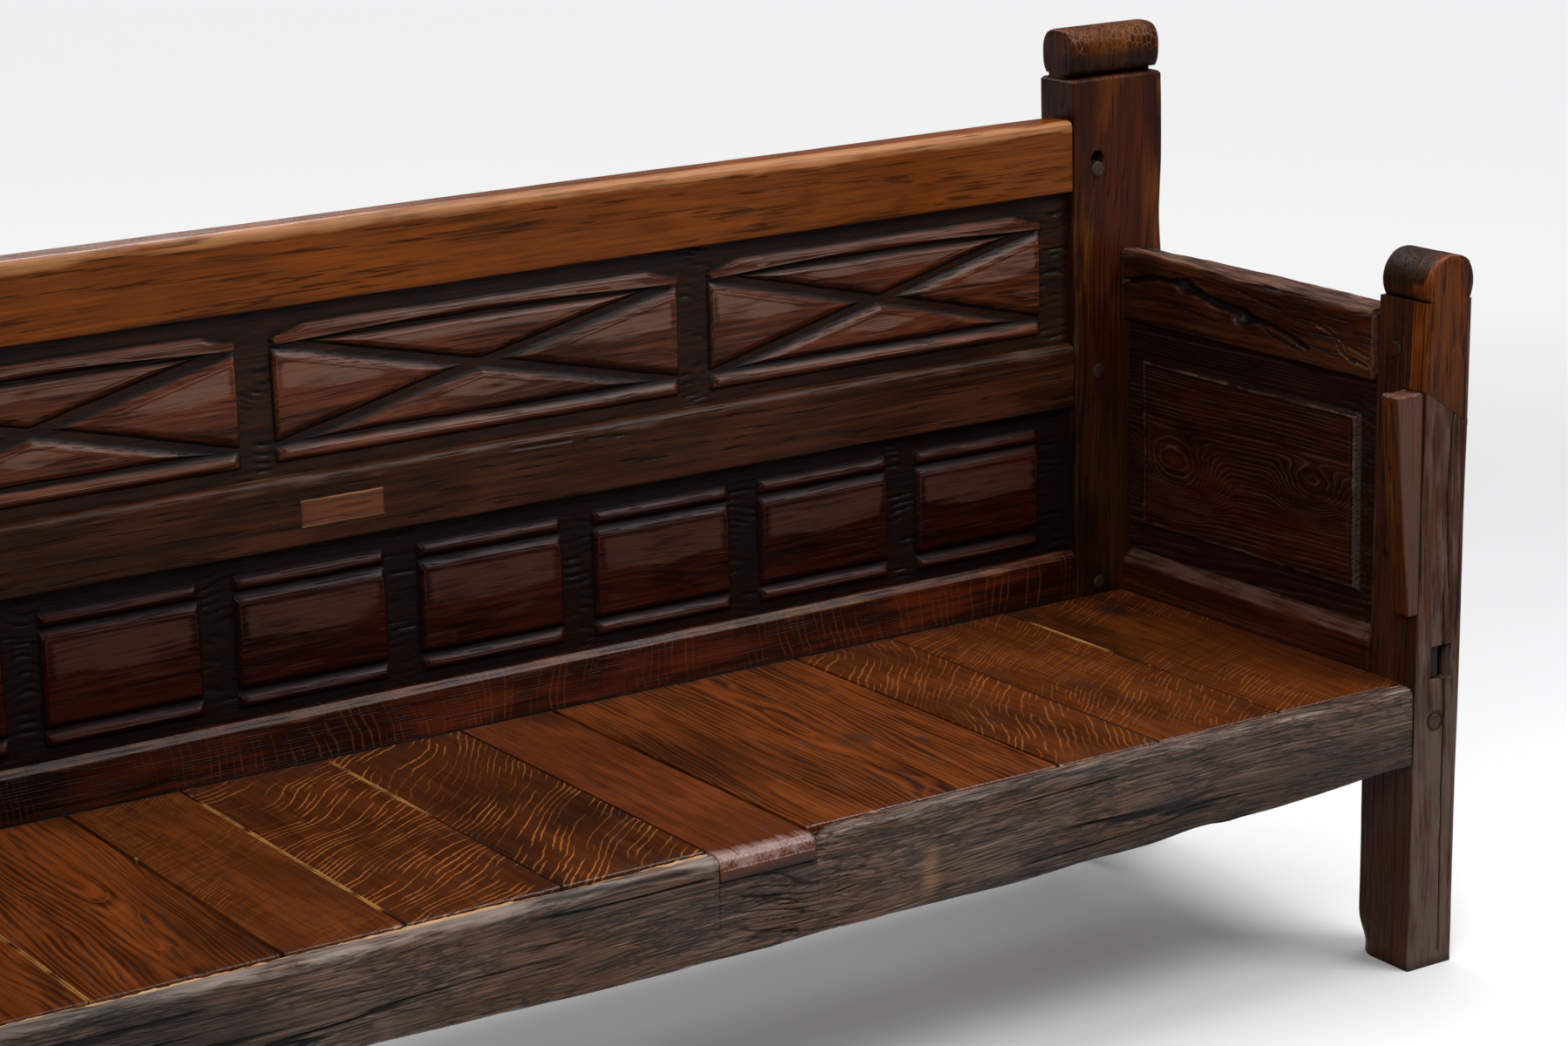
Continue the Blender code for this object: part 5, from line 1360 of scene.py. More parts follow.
SEAT_LOOKS = {
    1: {"cut": "flat", "tone": 0.85},
    2: {"cut": "flat", "tone": 0.88},
    3: {"cut": "quarter", "tone": 0.60, "rays": 0.4, "turn": 0.55, "pitch": 0.0052, "bend": 24.0},
    4: {"cut": "quarter", "tone": 0.42, "rays": 0.85, "turn": 0.45, "pitch": 0.0100, "bend": 15.0},
    5: {"cut": "quarter", "tone": 0.39, "rays": 1.0, "turn": 0.9, "pitch": 0.0095, "bend": 12.0},
    # Board 6 is the nosed board. Its bare colour is the pale of the painted highlight on its nose.
    6: {"cut": "plain", "tone": 0.74, "bare": (0.33, 0.21, 0.185)},
    7: {"cut": "flat", "tone": 0.78},
    8: {"cut": "quarter", "tone": 0.55, "rays": 0.6, "turn": 0.95, "pitch": 0.0080, "bend": 13.0},
    9: {"cut": "quarter", "tone": 0.62, "rays": 0.5, "turn": 0.7, "pitch": 0.0065, "bend": 15.0},
    10: {"cut": "quarter", "tone": 0.68, "rays": 0.55, "turn": 0.55, "pitch": 0.0070, "bend": 14.0},
}
SEAT_PITHS = {"flat": (0.02, -0.09), "quarter": (0.22, 0.03), "plain": (0.14, -0.08)}
OPEN_JOINTS = {3: 1.0, 6: 0.45, 7: 1.0, 8: 0.9}
CLOSED_JOINT = 0.12
NOSE_ROUND = 0.016
TONGUE_TOP = 0.372
SEAT_STAINS = {
    5: [(-0.09, 0.045, 0.02), (-0.065, -0.14, 0.03)],
    7: [(0.39, 0.125, 0.03), (0.31, -0.07, 0.035), (0.37, -0.12, 0.02)],
    9: [(0.62, 0.165, 0.022), (0.70, 0.02, 0.015)],
    10: [(0.905, 0.165, 0.045), (0.80, 0.215, 0.02)],
}
PALE_JOINTS = {2: (0.55, 1.0), 4: (0.1, 0.9), 5: (0.0, 0.46), 10: (0.1, 0.4)}


def seat_board(number, wear, colours):
    """A seat board: a rectangle with eased edges carried from the front ledge to its tongue."""
    node = "seat_board_%02d" % number
    low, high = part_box(node)
    nosed = low.y < FRONT_FACE + 0.001
    shoulder = BACK_PLANE - CLOSE
    start = low.y
    stations = spread(start, shoulder, 0.008, [(start, start + 0.016, 0.0022)])
    count = len(stations)
    places = on_axis("Y", stations) + (high.x, 0, 0)
    seed = 500 + 13 * number
    gap_low = wear.joint_width / 2 * OPEN_JOINTS.get(number, CLOSED_JOINT)
    gap_high = wear.joint_width / 2 * OPEN_JOINTS.get(number + 1, CLOSED_JOINT)
    x0 = low.x + gap_low + 0.0004 * rough(places, (1, 9, 1), seed)
    x1 = high.x - gap_high + 0.0004 * rough(places, (1, 9, 1), seed + 1)
    top = np.full(count, high.z)
    if nosed:
        top = high.z - quarter_round(1 - (stations - start) / NOSE_ROUND, NOSE_ROUND)
    corners = box_corners(count, x0, x1, low.z, top)
    radii = np.tile((0.001, 0.001, 0.0016, 0.0016), (count, 1))
    left, right = max(low.x, CLOSE - INNER_X), min(high.x, INNER_X - CLOSE)
    tongue = (shoulder + 0.0137, rectangle(left, right, low.z, TONGUE_TOP))
    stations, corners, radii, body = stretched(stations, corners, radii, None, tongue, ease=0.0012)
    rims = [(low.x, low.x + 0.006, 0.0012), (high.x - 0.006, high.x, 0.0012)]
    across = spread(low.x, high.x, 0.007, rims)
    thick = evenly(6)
    sides = [shares(across)[::3], thick, 1 - shares(across)[::-1], thick]
    flat, edge = loops(corners, radii, sides, worn=(0, 0, 1, 1), fade=0.004)
    grid, normal = swept("Y", stations, flat)
    x, y, z = coordinates(grid)
    from_z, to_z = (low.z + 0.006, low.z + 0.012) if nosed else (high.z - 0.006, high.z - 0.002)
    upper = step(from_z, to_z, z)
    width = high.x - low.x
    cup = 0.0006 * (2 * (x - low.x) / width - 1) ** 2
    dent = 0.0007 * (rough(grid, (9, 4, 9), seed + 4, 3) - 0.6) + cup * 0.6
    grid = pushed(grid, normal, dent * upper * body[:, None])
    chip = step(0.15, 0.6, rough(grid, (70, 70, 1), seed + 6)) * step(start + 0.006, start + 0.001, y) * upper
    if not nosed:
        grid[..., 2] -= 0.0016 * chip
    pale = np.zeros_like(edge)
    depth = (shoulder - y) / (shoulder - start)
    for joint, (near, far) in PALE_JOINTS.items():
        if number in (joint, joint - 1):
            line = low.x if number == joint else high.x
            wide = 0.0034 + 0.0016 * rough(grid, (1, 40, 1), joint)
            stripe = step(1.0, 0.4, np.abs(x - line) / wide) * upper
            stripe = stripe * within(near, far, 0.02, depth)
            stripe = stripe * step(-0.6, 0.2, rough(grid, (1, 38, 1), joint + 40, 3))
            pale = np.maximum(pale, stripe)
    joint = np.minimum(np.abs(x - low.x), np.abs(high.x - x))
    grime = step(0.0024, 0.0004, joint) * 0.75 * (1 - pale)
    # Painted shade at the front and back ends of the board, where the rails meet it.
    rim = step(start + 0.02, start, y) * 0.25 + step(shoulder - 0.025, shoulder, y) * 0.45
    flake = step(0.62, 0.8, rough(grid, (60, 60, 1), seed + 12, 1)) * step(0.007, 0.002, joint) * upper
    rub = most(edge * 0.25 * (1 - grime), chip, flake)
    grime = grime * (1 - flake)
    for spot_x, spot_y, reach in SEAT_STAINS.get(number, ()):
        away = np.hypot((x - spot_x) * 1.6, y - spot_y) / reach + 0.7 * rough(grid, (26, 14, 1), seed + 9, 3)
        grime = np.maximum(grime, 0.6 * step(1.2, 0.3, away))
    marks = {"wear": rub, "grime": limited(grime + rim * (not nosed)), "pale": pale}
    if nosed:
        # On the nosed board, the wear band on the rounded nose, in its bare colour, is a painted highlight.
        band = step(start + 0.040, start + 0.016, y)
        below = step(high.z - 0.013, high.z - 0.023, z + 0.002 * rough(grid, (30, 1, 1), seed + 15)) * band
        marks["wear"] = limited(band * 0.85 * (1 - below) + chip * 0.5)
        # Painted shade along the nose's lower edge, where it sits on the rail. Below the highlight band it is
        # darker.
        foot = np.maximum(step(low.z + 0.006, low.z, z) * 0.9, 0.42 * below)
        marks["grime"] = limited(foot + grime * (1 - band))
    look = SEAT_LOOKS[number]
    colour = colours.nose if nosed else shade(colours.seat, look["tone"])
    slot = "nose_board_oak" if nosed else "seat_board_oak"
    finish_board(node, slot, [tube(grid, marks)], colour, look, seed)


def finish_board(node, slot, shells, colour, look, seed):
    """Dresses a seat board: each comes from its own place in a tree, sawn flat, plain or quartered."""
    flat_sawn = look["cut"] == "flat"
    rng = np.random.default_rng(seed)
    pith = tuple(np.array(SEAT_PITHS[look["cut"]]) * rng.uniform(0.8, 1.3, 2))
    lean = (0.0, rng.uniform(-0.05, 0.05), rng.uniform(-0.05, 0.05))
    dress(
        node, "Y", slot, shells, pith=pith, lean=lean, shift=rng.uniform(0, 9),
        **hues(colour, 0.24, 1.75), bare=look.get("bare", (0.5, 0.25, 0.1)),
        warm=shade(colour, 1.9), warmth=0.55, rays=look.get("rays", 0.0),
        ray_turn=look.get("turn", 0.7), ray_pitch=look.get("pitch", 0.008), ray_bend=look.get("bend", 13.0),
        rings=1.3 if flat_sawn else 0.25, pitch=0.0060 if flat_sawn else 0.004,
        bend=0.055 if flat_sawn else 0.014, coarse=0.8 if flat_sawn else 0.45,
        streaks=0.35 if flat_sawn else 0.1, fibre=0.6, stain=0.7, shine=0.27, matt=0.3, relief=0.35,
    )


def front_rail(wear, colours):
    """The weathered front rail: an L section carried along X, furrowed along its grain.

    Furrows and cracks are ridged noise, stretched along X: narrow where the noise crosses zero.
    Its lower edge bows as a parabola and rises at the right end.
    """
    low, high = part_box("front_rail")
    end = POST_INNER - CLOSE
    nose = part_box("seat_board_06")
    cut0, cut1 = nose[0].x, nose[1].x
    ledge = SEAT_UNDER - CLOSE
    lip = FRONT_FACE + 0.029
    finer = [(cut0 - 0.012, cut0 + 0.006, 0.002), (cut1 - 0.006, cut1 + 0.06, 0.0025)]
    places = spread(-end, end, 0.005, finer)
    places = places[(np.abs(places - cut0) > 0.001) & (np.abs(places - cut1) > 0.001)]
    walls = (cut0 - 0.0002, cut0 + 0.0001, cut1 - 0.0001, cut1 + 0.0006)
    places = np.sort(np.concatenate((places, walls)))
    count = len(places)
    spots = on_axis("X", places)
    notch = (places > cut0) & (places < cut1)
    belly = wear.rail_sag * (1 - (places - 0.08) ** 2 / 0.61).clip(-0.6, 1)
    bottom = low.z + 0.0005 - belly + 0.0022 * rough(spots, (6, 1, 1), 601, 4)
    bottom = bottom + 0.004 * step(0.80, 0.97, places)
    top = high.z - 0.0007 * (1 + rough(spots, (9, 1, 1), 603, 3))
    worn_side = np.where(places > cut1, np.exp(-(places - cut1) / 0.022), 0)
    left_side = np.where(places < cut0, np.exp(-(cut0 - places) / 0.006), 0)
    top = np.where(notch, ledge, top - 0.013 * worn_side ** 2)
    front = FRONT_FACE + 0.0004 + 0.0015 * (1 + rough(spots, (4, 1, 1), 604, 3)) / 2
    back = np.full(count, high.y)
    lip_y = np.where(notch, lip, lip - 0.0004 * (1 + rough(spots, (50, 1, 1), 605, 3)))
    shelf = np.full(count, ledge)
    rear = ((back, bottom + 0.001), (back, shelf), (lip_y, shelf))
    corners = outlined((front, bottom), *rear, (lip_y, top), (front, top))
    radii = np.tile((0.005, 0.004, 0.002, 0.0, 0.0012, 0.014), (count, 1))
    radii[:, 5] *= 1 + 0.25 * rough(spots, (5, 1, 1), 606, 3) + 0.9 * worn_side
    radii[:, 5] = np.where(notch, 0.002, radii[:, 5] - 0.004 * left_side)
    radii[:, 0] *= 1 + 0.6 * rough(spots, (11, 1, 1), 607, 3)
    foot, head = 0.282, 0.348
    tenon = [(-0.317, foot), (-0.293, foot), (-0.293, head), (-0.305, head), (-0.306, head), (-0.317, head)]
    reach = POST_INNER + 0.05
    ends = (-reach, tenon), (reach, tenon)
    stations, corners, radii, body = stretched(places, corners, radii, *ends, 0.004)
    sides = [evenly(steps) for steps in (10, 14, 5, 5, 15, 74)]
    flat, _ = loops(corners, radii, sides)
    grid, normal = swept("X", stations, flat)
    x, y, z = coordinates(grid)
    bend = grid.copy()
    bend[..., 2] += 0.004 * np.sin(x * 6.1) + 0.018 * bump(0.07, 0.07, x) * bump(0.315, 0.03, z)
    furrow = ridged(rough(bend, (5.5, 130, 300), 611), 2.6) ** 2
    check = 1 - np.abs(rough(bend, (2.6, 26, 66), 617)) * 9
    check = limited(check * 1.4) * step(-0.2, 0.15, rough(grid, (5, 3, 14), 619))
    seen = step(lip + 0.004, lip - 0.002, y) * body[:, None]
    torn = bump(0.03, 0.08, x) * ridged(rough(bend, (16, 60, 150), 635), 5)
    sunk = wear.weathering * furrow + 0.0034 * np.maximum(check, torn)
    sunk = sunk + 0.0014 * (1 - rough(grid, (12, 30, 30), 613, 3)) / 2
    adze = rough(grid, (34, 10, 16), 629) * step(0.78, 0.88, x) * 0.0012
    under = step(0.3, 0.27, z) * body[:, None] * 0.4
    grid = pushed(grid, normal, -(sunk + adze) * np.maximum(seen, under))
    beside = np.exp(-np.maximum(x - cut1, 0) / 0.025) * (x > cut1)
    scoop = 0.0075 * beside * step(0.335, 0.368, z) * (1 + rough(grid, (90, 60, 60), 621))
    grid = pushed(grid, normal, -scoop * seen)
    broken = rough(grid, (9, 1, 1), 623, 3) + 0.35 * rough(grid, (60, 60, 1), 631) - 0.55 * (x > 0.15)
    broken = broken + 0.25 * step(0.1, -0.2, x)
    reach_in = 0.004 + 0.007 * step(-0.1, 0.5, broken)
    splinter = step(-0.12, 0.1, broken) * step(lip - reach_in - 0.0015, lip - reach_in + 0.0015, y)
    splinter = splinter * step(0.370, 0.376, z) * (1 - (x > cut0) * (x < cut1)) * body[:, None]
    grid[..., 2] -= 0.0018 * splinter * (1 + rough(grid, (140, 140, 1), 633))
    # sheen is a painted highlight along the rounded top edge, weaker to the right of the nosed board. It is
    # joined with the splinters' real wear.
    sheen = 0.8 * step(0.352, 0.374, z) * seen
    sheen = sheen * (1 - 0.4 * step(cut1 - 0.05, cut1 + 0.1, x))
    splinter_and_sheen = np.maximum(0.95 * splinter, sheen * (1 - check))
    base = corners[:, 0, 1][:, None]
    low_rub = 0.85 * step(base + 0.007, base + 0.002, z) * step(-0.3, 0.3, rough(grid, (9, 9, 9), 625))
    spot = bump(0.23, 0.011, x + 0.01 * rough(grid, (1, 1, 40), 637)) * step(0.266, 0.28, z)
    spot = 0.3 * spot * step(0.34, 0.325, z)
    cloudy = 0.4 * step(0.0, 0.6, rough(grid, (5, 8, 16), 627))
    dark = limited(furrow * 0.4 + np.maximum(check, torn * 0.9) + cloudy) * (1 - 2.5 * spot)
    # Painted shade in the notch under the nosed board.
    notch_shade = ((x > cut0) & (x < cut1)) * step(0.338, 0.347, z) * 0.8
    marks = {"wear": np.maximum(splinter_and_sheen, low_rub), "grime": np.maximum(dark * (1 - splinter), notch_shade)}
    marks["pale"] = np.maximum(splinter, spot)
    # Its bare colour is both worn wood and the painted highlight along the top edge.
    dress(
        "front_rail", "X", "weathered_rail_oak", [tube(grid, marks)], crease=55, pith=(0.02, 0.10),
        lean=(0.0, 0.02, 0.03), shift=2.2, **hues(colours.weathered, 0.25, 1.9),
        bare=(0.29, 0.235, 0.205), filled=(0.5, 0.29, 0.14), grime=(0.011, 0.009, 0.008),
        warm=(0.12, 0.05, 0.02), warmth=0.6, rings=0.7, pitch=0.005, bend=0.05, fibre=1.2, coarse=0.9,
        pores=0.9, stain=0.7, streaks=0.3, checks=0.65, shine=0.4, matt=0.35, relief=1.0, wear=0.7,
        specular=0.2,
    )


def end_tenons(low, high, front_reach, front_width=0.033):
    """The tenons at both ends of an arm rail or sill: their reach on Y and corners (x, z)."""
    x0, x1 = POST_INNER + 0.025, POST_INNER + 0.058
    xf = x0 + front_width
    far = rectangle(x0, x1, low, high)
    return (front_reach, rectangle(x0, xf, low, high)), (BACK_PLANE + 0.045, far)


def arm_rail(end, colours):
    """An arm: a rounded section carried along Y, its top falling outwards, with cracks and hollows."""
    side = ENDS[end]
    seed = 701 if side > 0 else 761
    node = "arm_rail_" + end
    low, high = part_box(node)
    x0, x1 = POST_INNER, POST_INNER + 0.070
    stations = spread(POST_BACK + CLOSE, BACK_PLANE - CLOSE, 0.0034)
    count = len(stations)
    spots = on_axis("Y", stations)
    along = (stations - POST_BACK) / (BACK_PLANE - POST_BACK)
    dip = 0.0045 * bump(0.015, 0.05, stations) + 0.0015 * bump(-0.16, 0.05, stations)
    inner_top = high.z - 0.004 + 0.0075 * along - dip - 0.0014 * (1 + rough(spots, (1, 8, 1), seed, 4))
    outer_top = high.z - 0.007 + 0.002 * along - 0.0016 * (1 + rough(spots, (1, 9, 1), seed + 10, 4))
    inner = x0 + 0.0008 * (1 + rough(spots, (1, 5, 1), seed + 1, 3))
    outer = np.full(count, x1 - 0.001)
    foot = np.full(count, low.z)
    corners = outlined((inner, foot), (outer, foot), (outer, outer_top), (inner, inner_top))
    radii = np.tile((0.002, 0.003, 0.012, 0.0075), (count, 1))
    radii[:, 3] *= 1 + 0.5 * rough(spots, (1, 11, 1), seed + 2, 3)
    tenons = end_tenons(0.775, 0.835, POST_BACK - 0.050)
    stations, corners, radii, body = stretched(stations, corners, radii, *tenons, ease=0.003)
    face = evenly(46)
    across = evenly(30)
    sides = [across[::3], face[::3], across, face]
    flat, edge = loops(corners, radii, sides, worn=(0.3, 0.3, 0.7, 1), fade=0.006)
    grid, normal = swept("Y", stations, flat)
    x, y, z = coordinates(grid)
    inside = step(x0 + 0.012, x0 + 0.004, x) * body[:, None]
    upper = step(high.z - 0.018, high.z - 0.008, z) * body[:, None]
    ragged = 0.0016 * rough(grid, (1, 70, 70), seed + 3, 3)
    main = [(0.25, 0.814), (0.19, 0.826), (0.13, 0.827), (0.07, 0.812), (0.01, 0.806)]
    main += [(-0.06, 0.797), (-0.12, 0.781)]
    width = 0.0042 + 0.0036 * step(0.16, 0.12, y) * step(-0.03, 0.0, y)
    crack = step(1.0, 0.45, (far_from(main, y, z) + ragged) / width)
    runs = (
        [(-0.02, 0.800), (-0.05, 0.786), (-0.10, 0.776)],
        [(0.10, 0.845), (0.05, 0.840), (-0.02, 0.829), (-0.07, 0.822)],
        [(-0.13, 0.818), (-0.17, 0.808), (-0.205, 0.795), (-0.235, 0.790)],
        [(-0.17, 0.808), (-0.185, 0.788), (-0.21, 0.777)],
        [(-0.19, 0.803), (-0.200, 0.784), (-0.235, 0.776)],
        [(0.24, 0.792), (0.16, 0.797), (0.06, 0.786)],
    )
    fine = np.minimum.reduce([far_from(run, y, z) for run in runs]) + ragged * 0.8
    fine_crack = step(0.0022, 0.0006, fine)
    pale_rim = bump(0.0034, 0.0014, fine) * step(-0.08, -0.13, y)
    hollow = np.zeros_like(y)
    for middle_y, middle_z, wide, tall in ((0.123, 0.824, 0.017, 0.010), (0.008, 0.8005, 0.017, 0.012)):
        away = np.hypot((y - middle_y) / wide, (z - middle_z) / tall)
        away = away + 0.22 * rough(grid, (1, 110, 110), seed + 4)
        hollow = np.maximum(hollow, step(1.2, 0.75, away))
    furrow = ridged(rough(grid, (100, 6, 100), seed + 5), 2.6) ** 2
    checks = ridged(rough(grid, (40, 3.5, 40), seed + 6), 8)
    checks = checks * step(-0.1, 0.3, rough(grid, (5, 5, 5), seed + 7)) * upper
    sunk = (0.0100 * crack + 0.0018 * fine_crack + 0.016 * hollow) * inside
    sunk = sunk + upper * (0.0010 * furrow + 0.0034 * checks)
    sunk = sunk + (0.0012 + 0.0008 * upper) * (1 - rough(grid, (26, 18, 26), seed + 8, 3)) * body[:, None]
    grid = pushed(grid, normal, -sunk)
    # Painted shade in the main crack, the hollows, under the arm and where it meets the back post. The fine
    # cracks, checks, furrows and blotches are dark wood and dirt.
    grime = [crack * inside, fine_crack * inside * 0.8, hollow * inside, checks, furrow * upper * 0.35]
    grime += [step(low.z + 0.012, low.z, z) * 0.4, 0.4 * step(0.235, 0.26, y)]
    grime += [0.3 * step(0.0, 0.6, rough(grid, (9, 9, 22), seed + 11, 3))]
    rubbed = upper * (0.62 + 0.18 * rough(grid, (45, 25, 45), seed + 9))
    marks = {
        "wear": limited(most(edge * 0.45, rubbed, 0.9 * pale_rim * inside)),
        "grime": limited(most(*grime)),
    }
    grid = grid * (side, 1, 1)
    dress(
        node, "Y", "arm_rail_oak", [tube(grid, marks)], crease=50, pith=(0.03, 0.07),
        lean=(0.0, 0.03, 0.04), shift=seed * 0.11, **hues(colours.arm, 0.26, 2.0),
        bare=(0.3, 0.15, 0.085), warm=(0.1, 0.03, 0.007), warmth=0.6, rings=0.35, coarse=0.8,
        pitch=0.007, bend=0.04, stain=0.8, streaks=0.15, checks=0.25, shine=0.34, relief=0.8,
        specular=0.25,
    )


def arm_sill(end, colours):
    """A sill at the seat: a rectangle with a broad chamfer towards the seat, carried along Y."""
    side = ENDS[end]
    seed = 801 if side > 0 else 861
    node = "arm_sill_" + end
    low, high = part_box(node)
    stations = spread(POST_BACK + CLOSE, BACK_PLANE - CLOSE, 0.006)
    count = len(stations)
    spots = on_axis("Y", stations)
    top = high.z - 0.0006 * (1 + rough(spots, (1, 7, 1), seed, 3))
    corners = box_corners(count, POST_INNER + 0.0002, POST_INNER + 0.070, low.z, top)
    radii = np.tile((0.002, 0.003, 0.003, 0.0155), (count, 1))
    radii[:, 3] *= 1 + 0.08 * rough(spots, (1, 9, 1), seed + 1, 3)
    tenons = end_tenons(MORTISE[2], MORTISE[3], FRONT_FACE + 0.0075, 0.017)
    stations, corners, radii, body = stretched(stations, corners, radii, *tenons, ease=0.001)
    sides = [evenly(8), evenly(12)] * 2
    flat, edge = loops(corners, radii, sides, (3,), worn=(0.1, 0.2, 0.3, 0.8), fade=0.004)
    grid, normal = swept("Y", stations, flat)
    grid = pushed(grid, normal, 0.0005 * (rough(grid, (20, 8, 20), seed + 3, 3) - 0.6) * body[:, None])
    x, y, z = coordinates(grid)
    butt = step(0.0022, 0.0006, np.abs(y - (POST_BACK + 0.011))) * body[:, None]
    grid = pushed(grid, normal, -0.0012 * butt)
    # Painted shade just above the seat.
    seat_shade = step(SEAT_TOP + 0.010, SEAT_TOP, z) * 0.6
    chamfer = (x < POST_INNER + 0.0165) * step(high.z - 0.025, high.z - 0.018, z) * body[:, None]
    chamfer = chamfer * (0.78 + 0.12 * rough(grid, (30, 20, 30), seed + 5, 3))
    tip = 0.8 * step(FRONT_FACE + 0.022, FRONT_FACE + 0.014, y)
    grime = most(seat_shade, butt * 0.9, tip)
    marks = {"wear": np.maximum(edge * 0.5, chamfer), "grime": grime}
    grid = grid * (side, 1, 1)
    dress(
        node, "Y", "arm_rail_oak", [tube(grid, marks)], pith=(0.05, 0.10), shift=seed * 0.07,
        **hues(shade(colours.arm, 1.5), 0.3, 1.7), bare=(0.14, 0.075, 0.055), warm=(0.08, 0.022, 0.006),
        warmth=0.5, pitch=0.005, shine=0.36, stain=0.7, streaks=0.6, specular=0.22,
    )


KNOTS = ((0.154, 0.560, 0.075, 10.5), (-0.128, 0.586, 0.055, 7.0))


def arm_panel(end, colours):
    """An end panel: a slab carried along Y whose face rises to its field over a soft slope."""
    side = ENDS[end]
    seed = 901 if side > 0 else 961
    node = "arm_panel_" + end
    low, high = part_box(node)
    if side < 0:
        low, high = Vector((-high.x, low.y, low.z)), Vector((-low.x, high.y, high.z))
    face = low.x + 0.008
    edges_y = (POST_BACK + 0.035, BACK_PLANE - 0.033)
    edges_z = (0.438 + 0.037, 0.760 - 0.049)
    fine_y = [(edge - 0.014, edge + 0.014, 0.0014) for edge in edges_y]
    fine_z = [(edge - 0.014, edge + 0.014, 0.0014) for edge in edges_z]
    stations = spread(low.y, high.y, 0.005, fine_y)
    rise = spread(low.z, high.z, 0.003, fine_z)
    corners = box_corners(len(stations), face, high.x, low.z, high.z)
    stations, corners, radii, body = stretched(stations, corners, 0.001, ease=0.001)
    back = evenly(30)
    sides = [np.array((0.5,)), back, np.array((0.5,)), 1 - shares(rise)[::-1]]
    flat, edge = loops(corners, radii, sides, worn=(0, 0, 0, 0))
    grid = carried("Y", stations, flat)
    y, z = grid[..., 1], grid[..., 2]
    front = np.abs(grid[..., 0] - face) < 0.003
    inward = np.minimum.reduce([y - edges_y[0], edges_y[1] - y, z - edges_z[0], edges_z[1] - z])
    inward = inward + 0.0008 * rough(grid, (1, 20, 20), seed)
    climb = step(-0.001, 0.008, inward)
    grid[..., 0] -= 0.008 * climb * front * body[:, None]
    near_edge = np.minimum(inward, 0.02)
    groove = bump(0.0115, 0.0022, near_edge) * front
    bead = bump(0.0065, 0.0026, near_edge) * front
    ticks = z * 95.0 + 1.4 * rough(grid, (1, 40, 12), seed + 6)
    ticks = step(0.55, 0.9, ticks - np.floor(ticks)) * step(edges_y[0], edges_y[0] - 0.006, y) * front
    dent = 0.0006 * rough(grid, (1, 14, 34), seed + 3, 3) + 0.0012 * groove - 0.0006 * bead
    dent = dent + 0.0016 * ticks
    grid[..., 0] += (dent * body[:, None]) * np.where(front, 1, 0)
    # Painted shade at the foot of the field's slope and in the groove. The bead's pale rub is wear and a
    # painted highlight.
    foot = bump(-0.002, 0.006, inward) * front
    rub = bead * step(-0.5, 0.2, rough(grid, (1, 60, 60), seed + 4, 3))
    grime = [0.5 * (1 - climb) * front, 0.7 * foot, 0.7 * groove, 0.8 * ticks]
    marks = {"wear": limited(0.8 * rub), "grime": limited(most(*grime))}
    grid = grid * (side, 1, 1)
    dress(
        node, "Y", "arm_panel_oak", [tube(grid, marks)], pith=(0.07, 0.19), lean=(0.0, 0.05, 0.04),
        shift=seed * 0.13, **hues(colours.panel, 0.35, 2.3), bare=(0.16, 0.095, 0.07),
        warm=(0.055, 0.012, 0.005), warmth=0.5,
        knots=tuple(((side * 0.995, y, z), reach, count) for y, z, reach, count in KNOTS), rings=0.95,
        ring_lines=0.32, pitch=0.0058, bend=0.02, coarse=0.7, stain=0.4, streaks=0.3, shine=0.3,
        relief=0.8, wear=0.6, specular=0.25,
    )


def peg(node, colours, seed):
    """A peg: a slightly uneven circle carried along its length, domed at the ends."""
    low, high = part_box(node)
    size = high - low
    axis = "X" if size.x > size.y else "Y"
    middle = (low + high) / 2
    start, end = (low.x, high.x) if axis == "X" else (low.y, high.y)
    if "arm_front" in node:
        leaning = inner_face(middle.z, middle.y) - POST_INNER - 0.0003
        start, end = (start + leaning, end) if middle.x > 0 else (start, end - leaning)
    radius = size.z / 2 - 0.0002
    across = middle.y if axis == "X" else middle.x
    dome = 0.0014
    angles = np.linspace(0, 2 * math.pi, 29)[:-1]
    profile = [(start, 0.35), (start + dome * 0.12, 0.62), (start + dome * 0.4, 0.86), (start + dome, 0.985)]
    profile += [(start + dome * 2, 1.0), ((start + end) / 2, 1.0), (end - dome * 2, 1.0)]
    profile += [(end - dome, 0.985), (end - dome * 0.4, 0.86), (end - dome * 0.12, 0.62), (end, 0.35)]
    places = np.array([place for place, _ in profile])
    spans = np.array([share for _, share in profile])
    spots = np.stack((np.cos(angles), np.sin(angles), np.full(len(angles), seed * 3.1)), -1)
    uneven = 1 - 0.035 * (1 + rough(spots, (1.3, 1.3, 1), seed))
    ring = radius * spans[:, None] * uneven[None]
    flat = np.stack((across + ring * np.cos(angles), middle.z + ring * np.sin(angles)), -1)
    grid = carried(axis, places, flat)
    tip = (spans < 0.99)[:, None] * np.ones(grid.shape[:2])
    rim = step(0.9, 1.0, spans)[:, None]
    # The pale ring on each dome is wear and a painted highlight. The rim is darker where the peg meets its
    # hole.
    marks = {"wear": bump(0.86, 0.1, spans)[:, None] * 0.6 * tip, "grime": rim * 0.9 + 0.25 * tip}
    colour = colours.front_post if "front" in node else colours.peg
    dress(
        node, axis, "peg_oak", [tube(grid, marks)], pith=(0.003, 0.002), shift=seed * 0.53,
        **hues(colour, 0.4, 1.5), bare=shade(colour, 3.6), rings=0.4, pitch=0.002, bend=0.002,
        coarse=0.7, shine=0.4, relief=0.7,
    )


def settings():
    """The scene's three groups of settings."""
    scene = bpy.context.scene
    return scene.bench_wear, scene.bench_colours, scene.bench_stage


FLOOR_HALF = 14.0


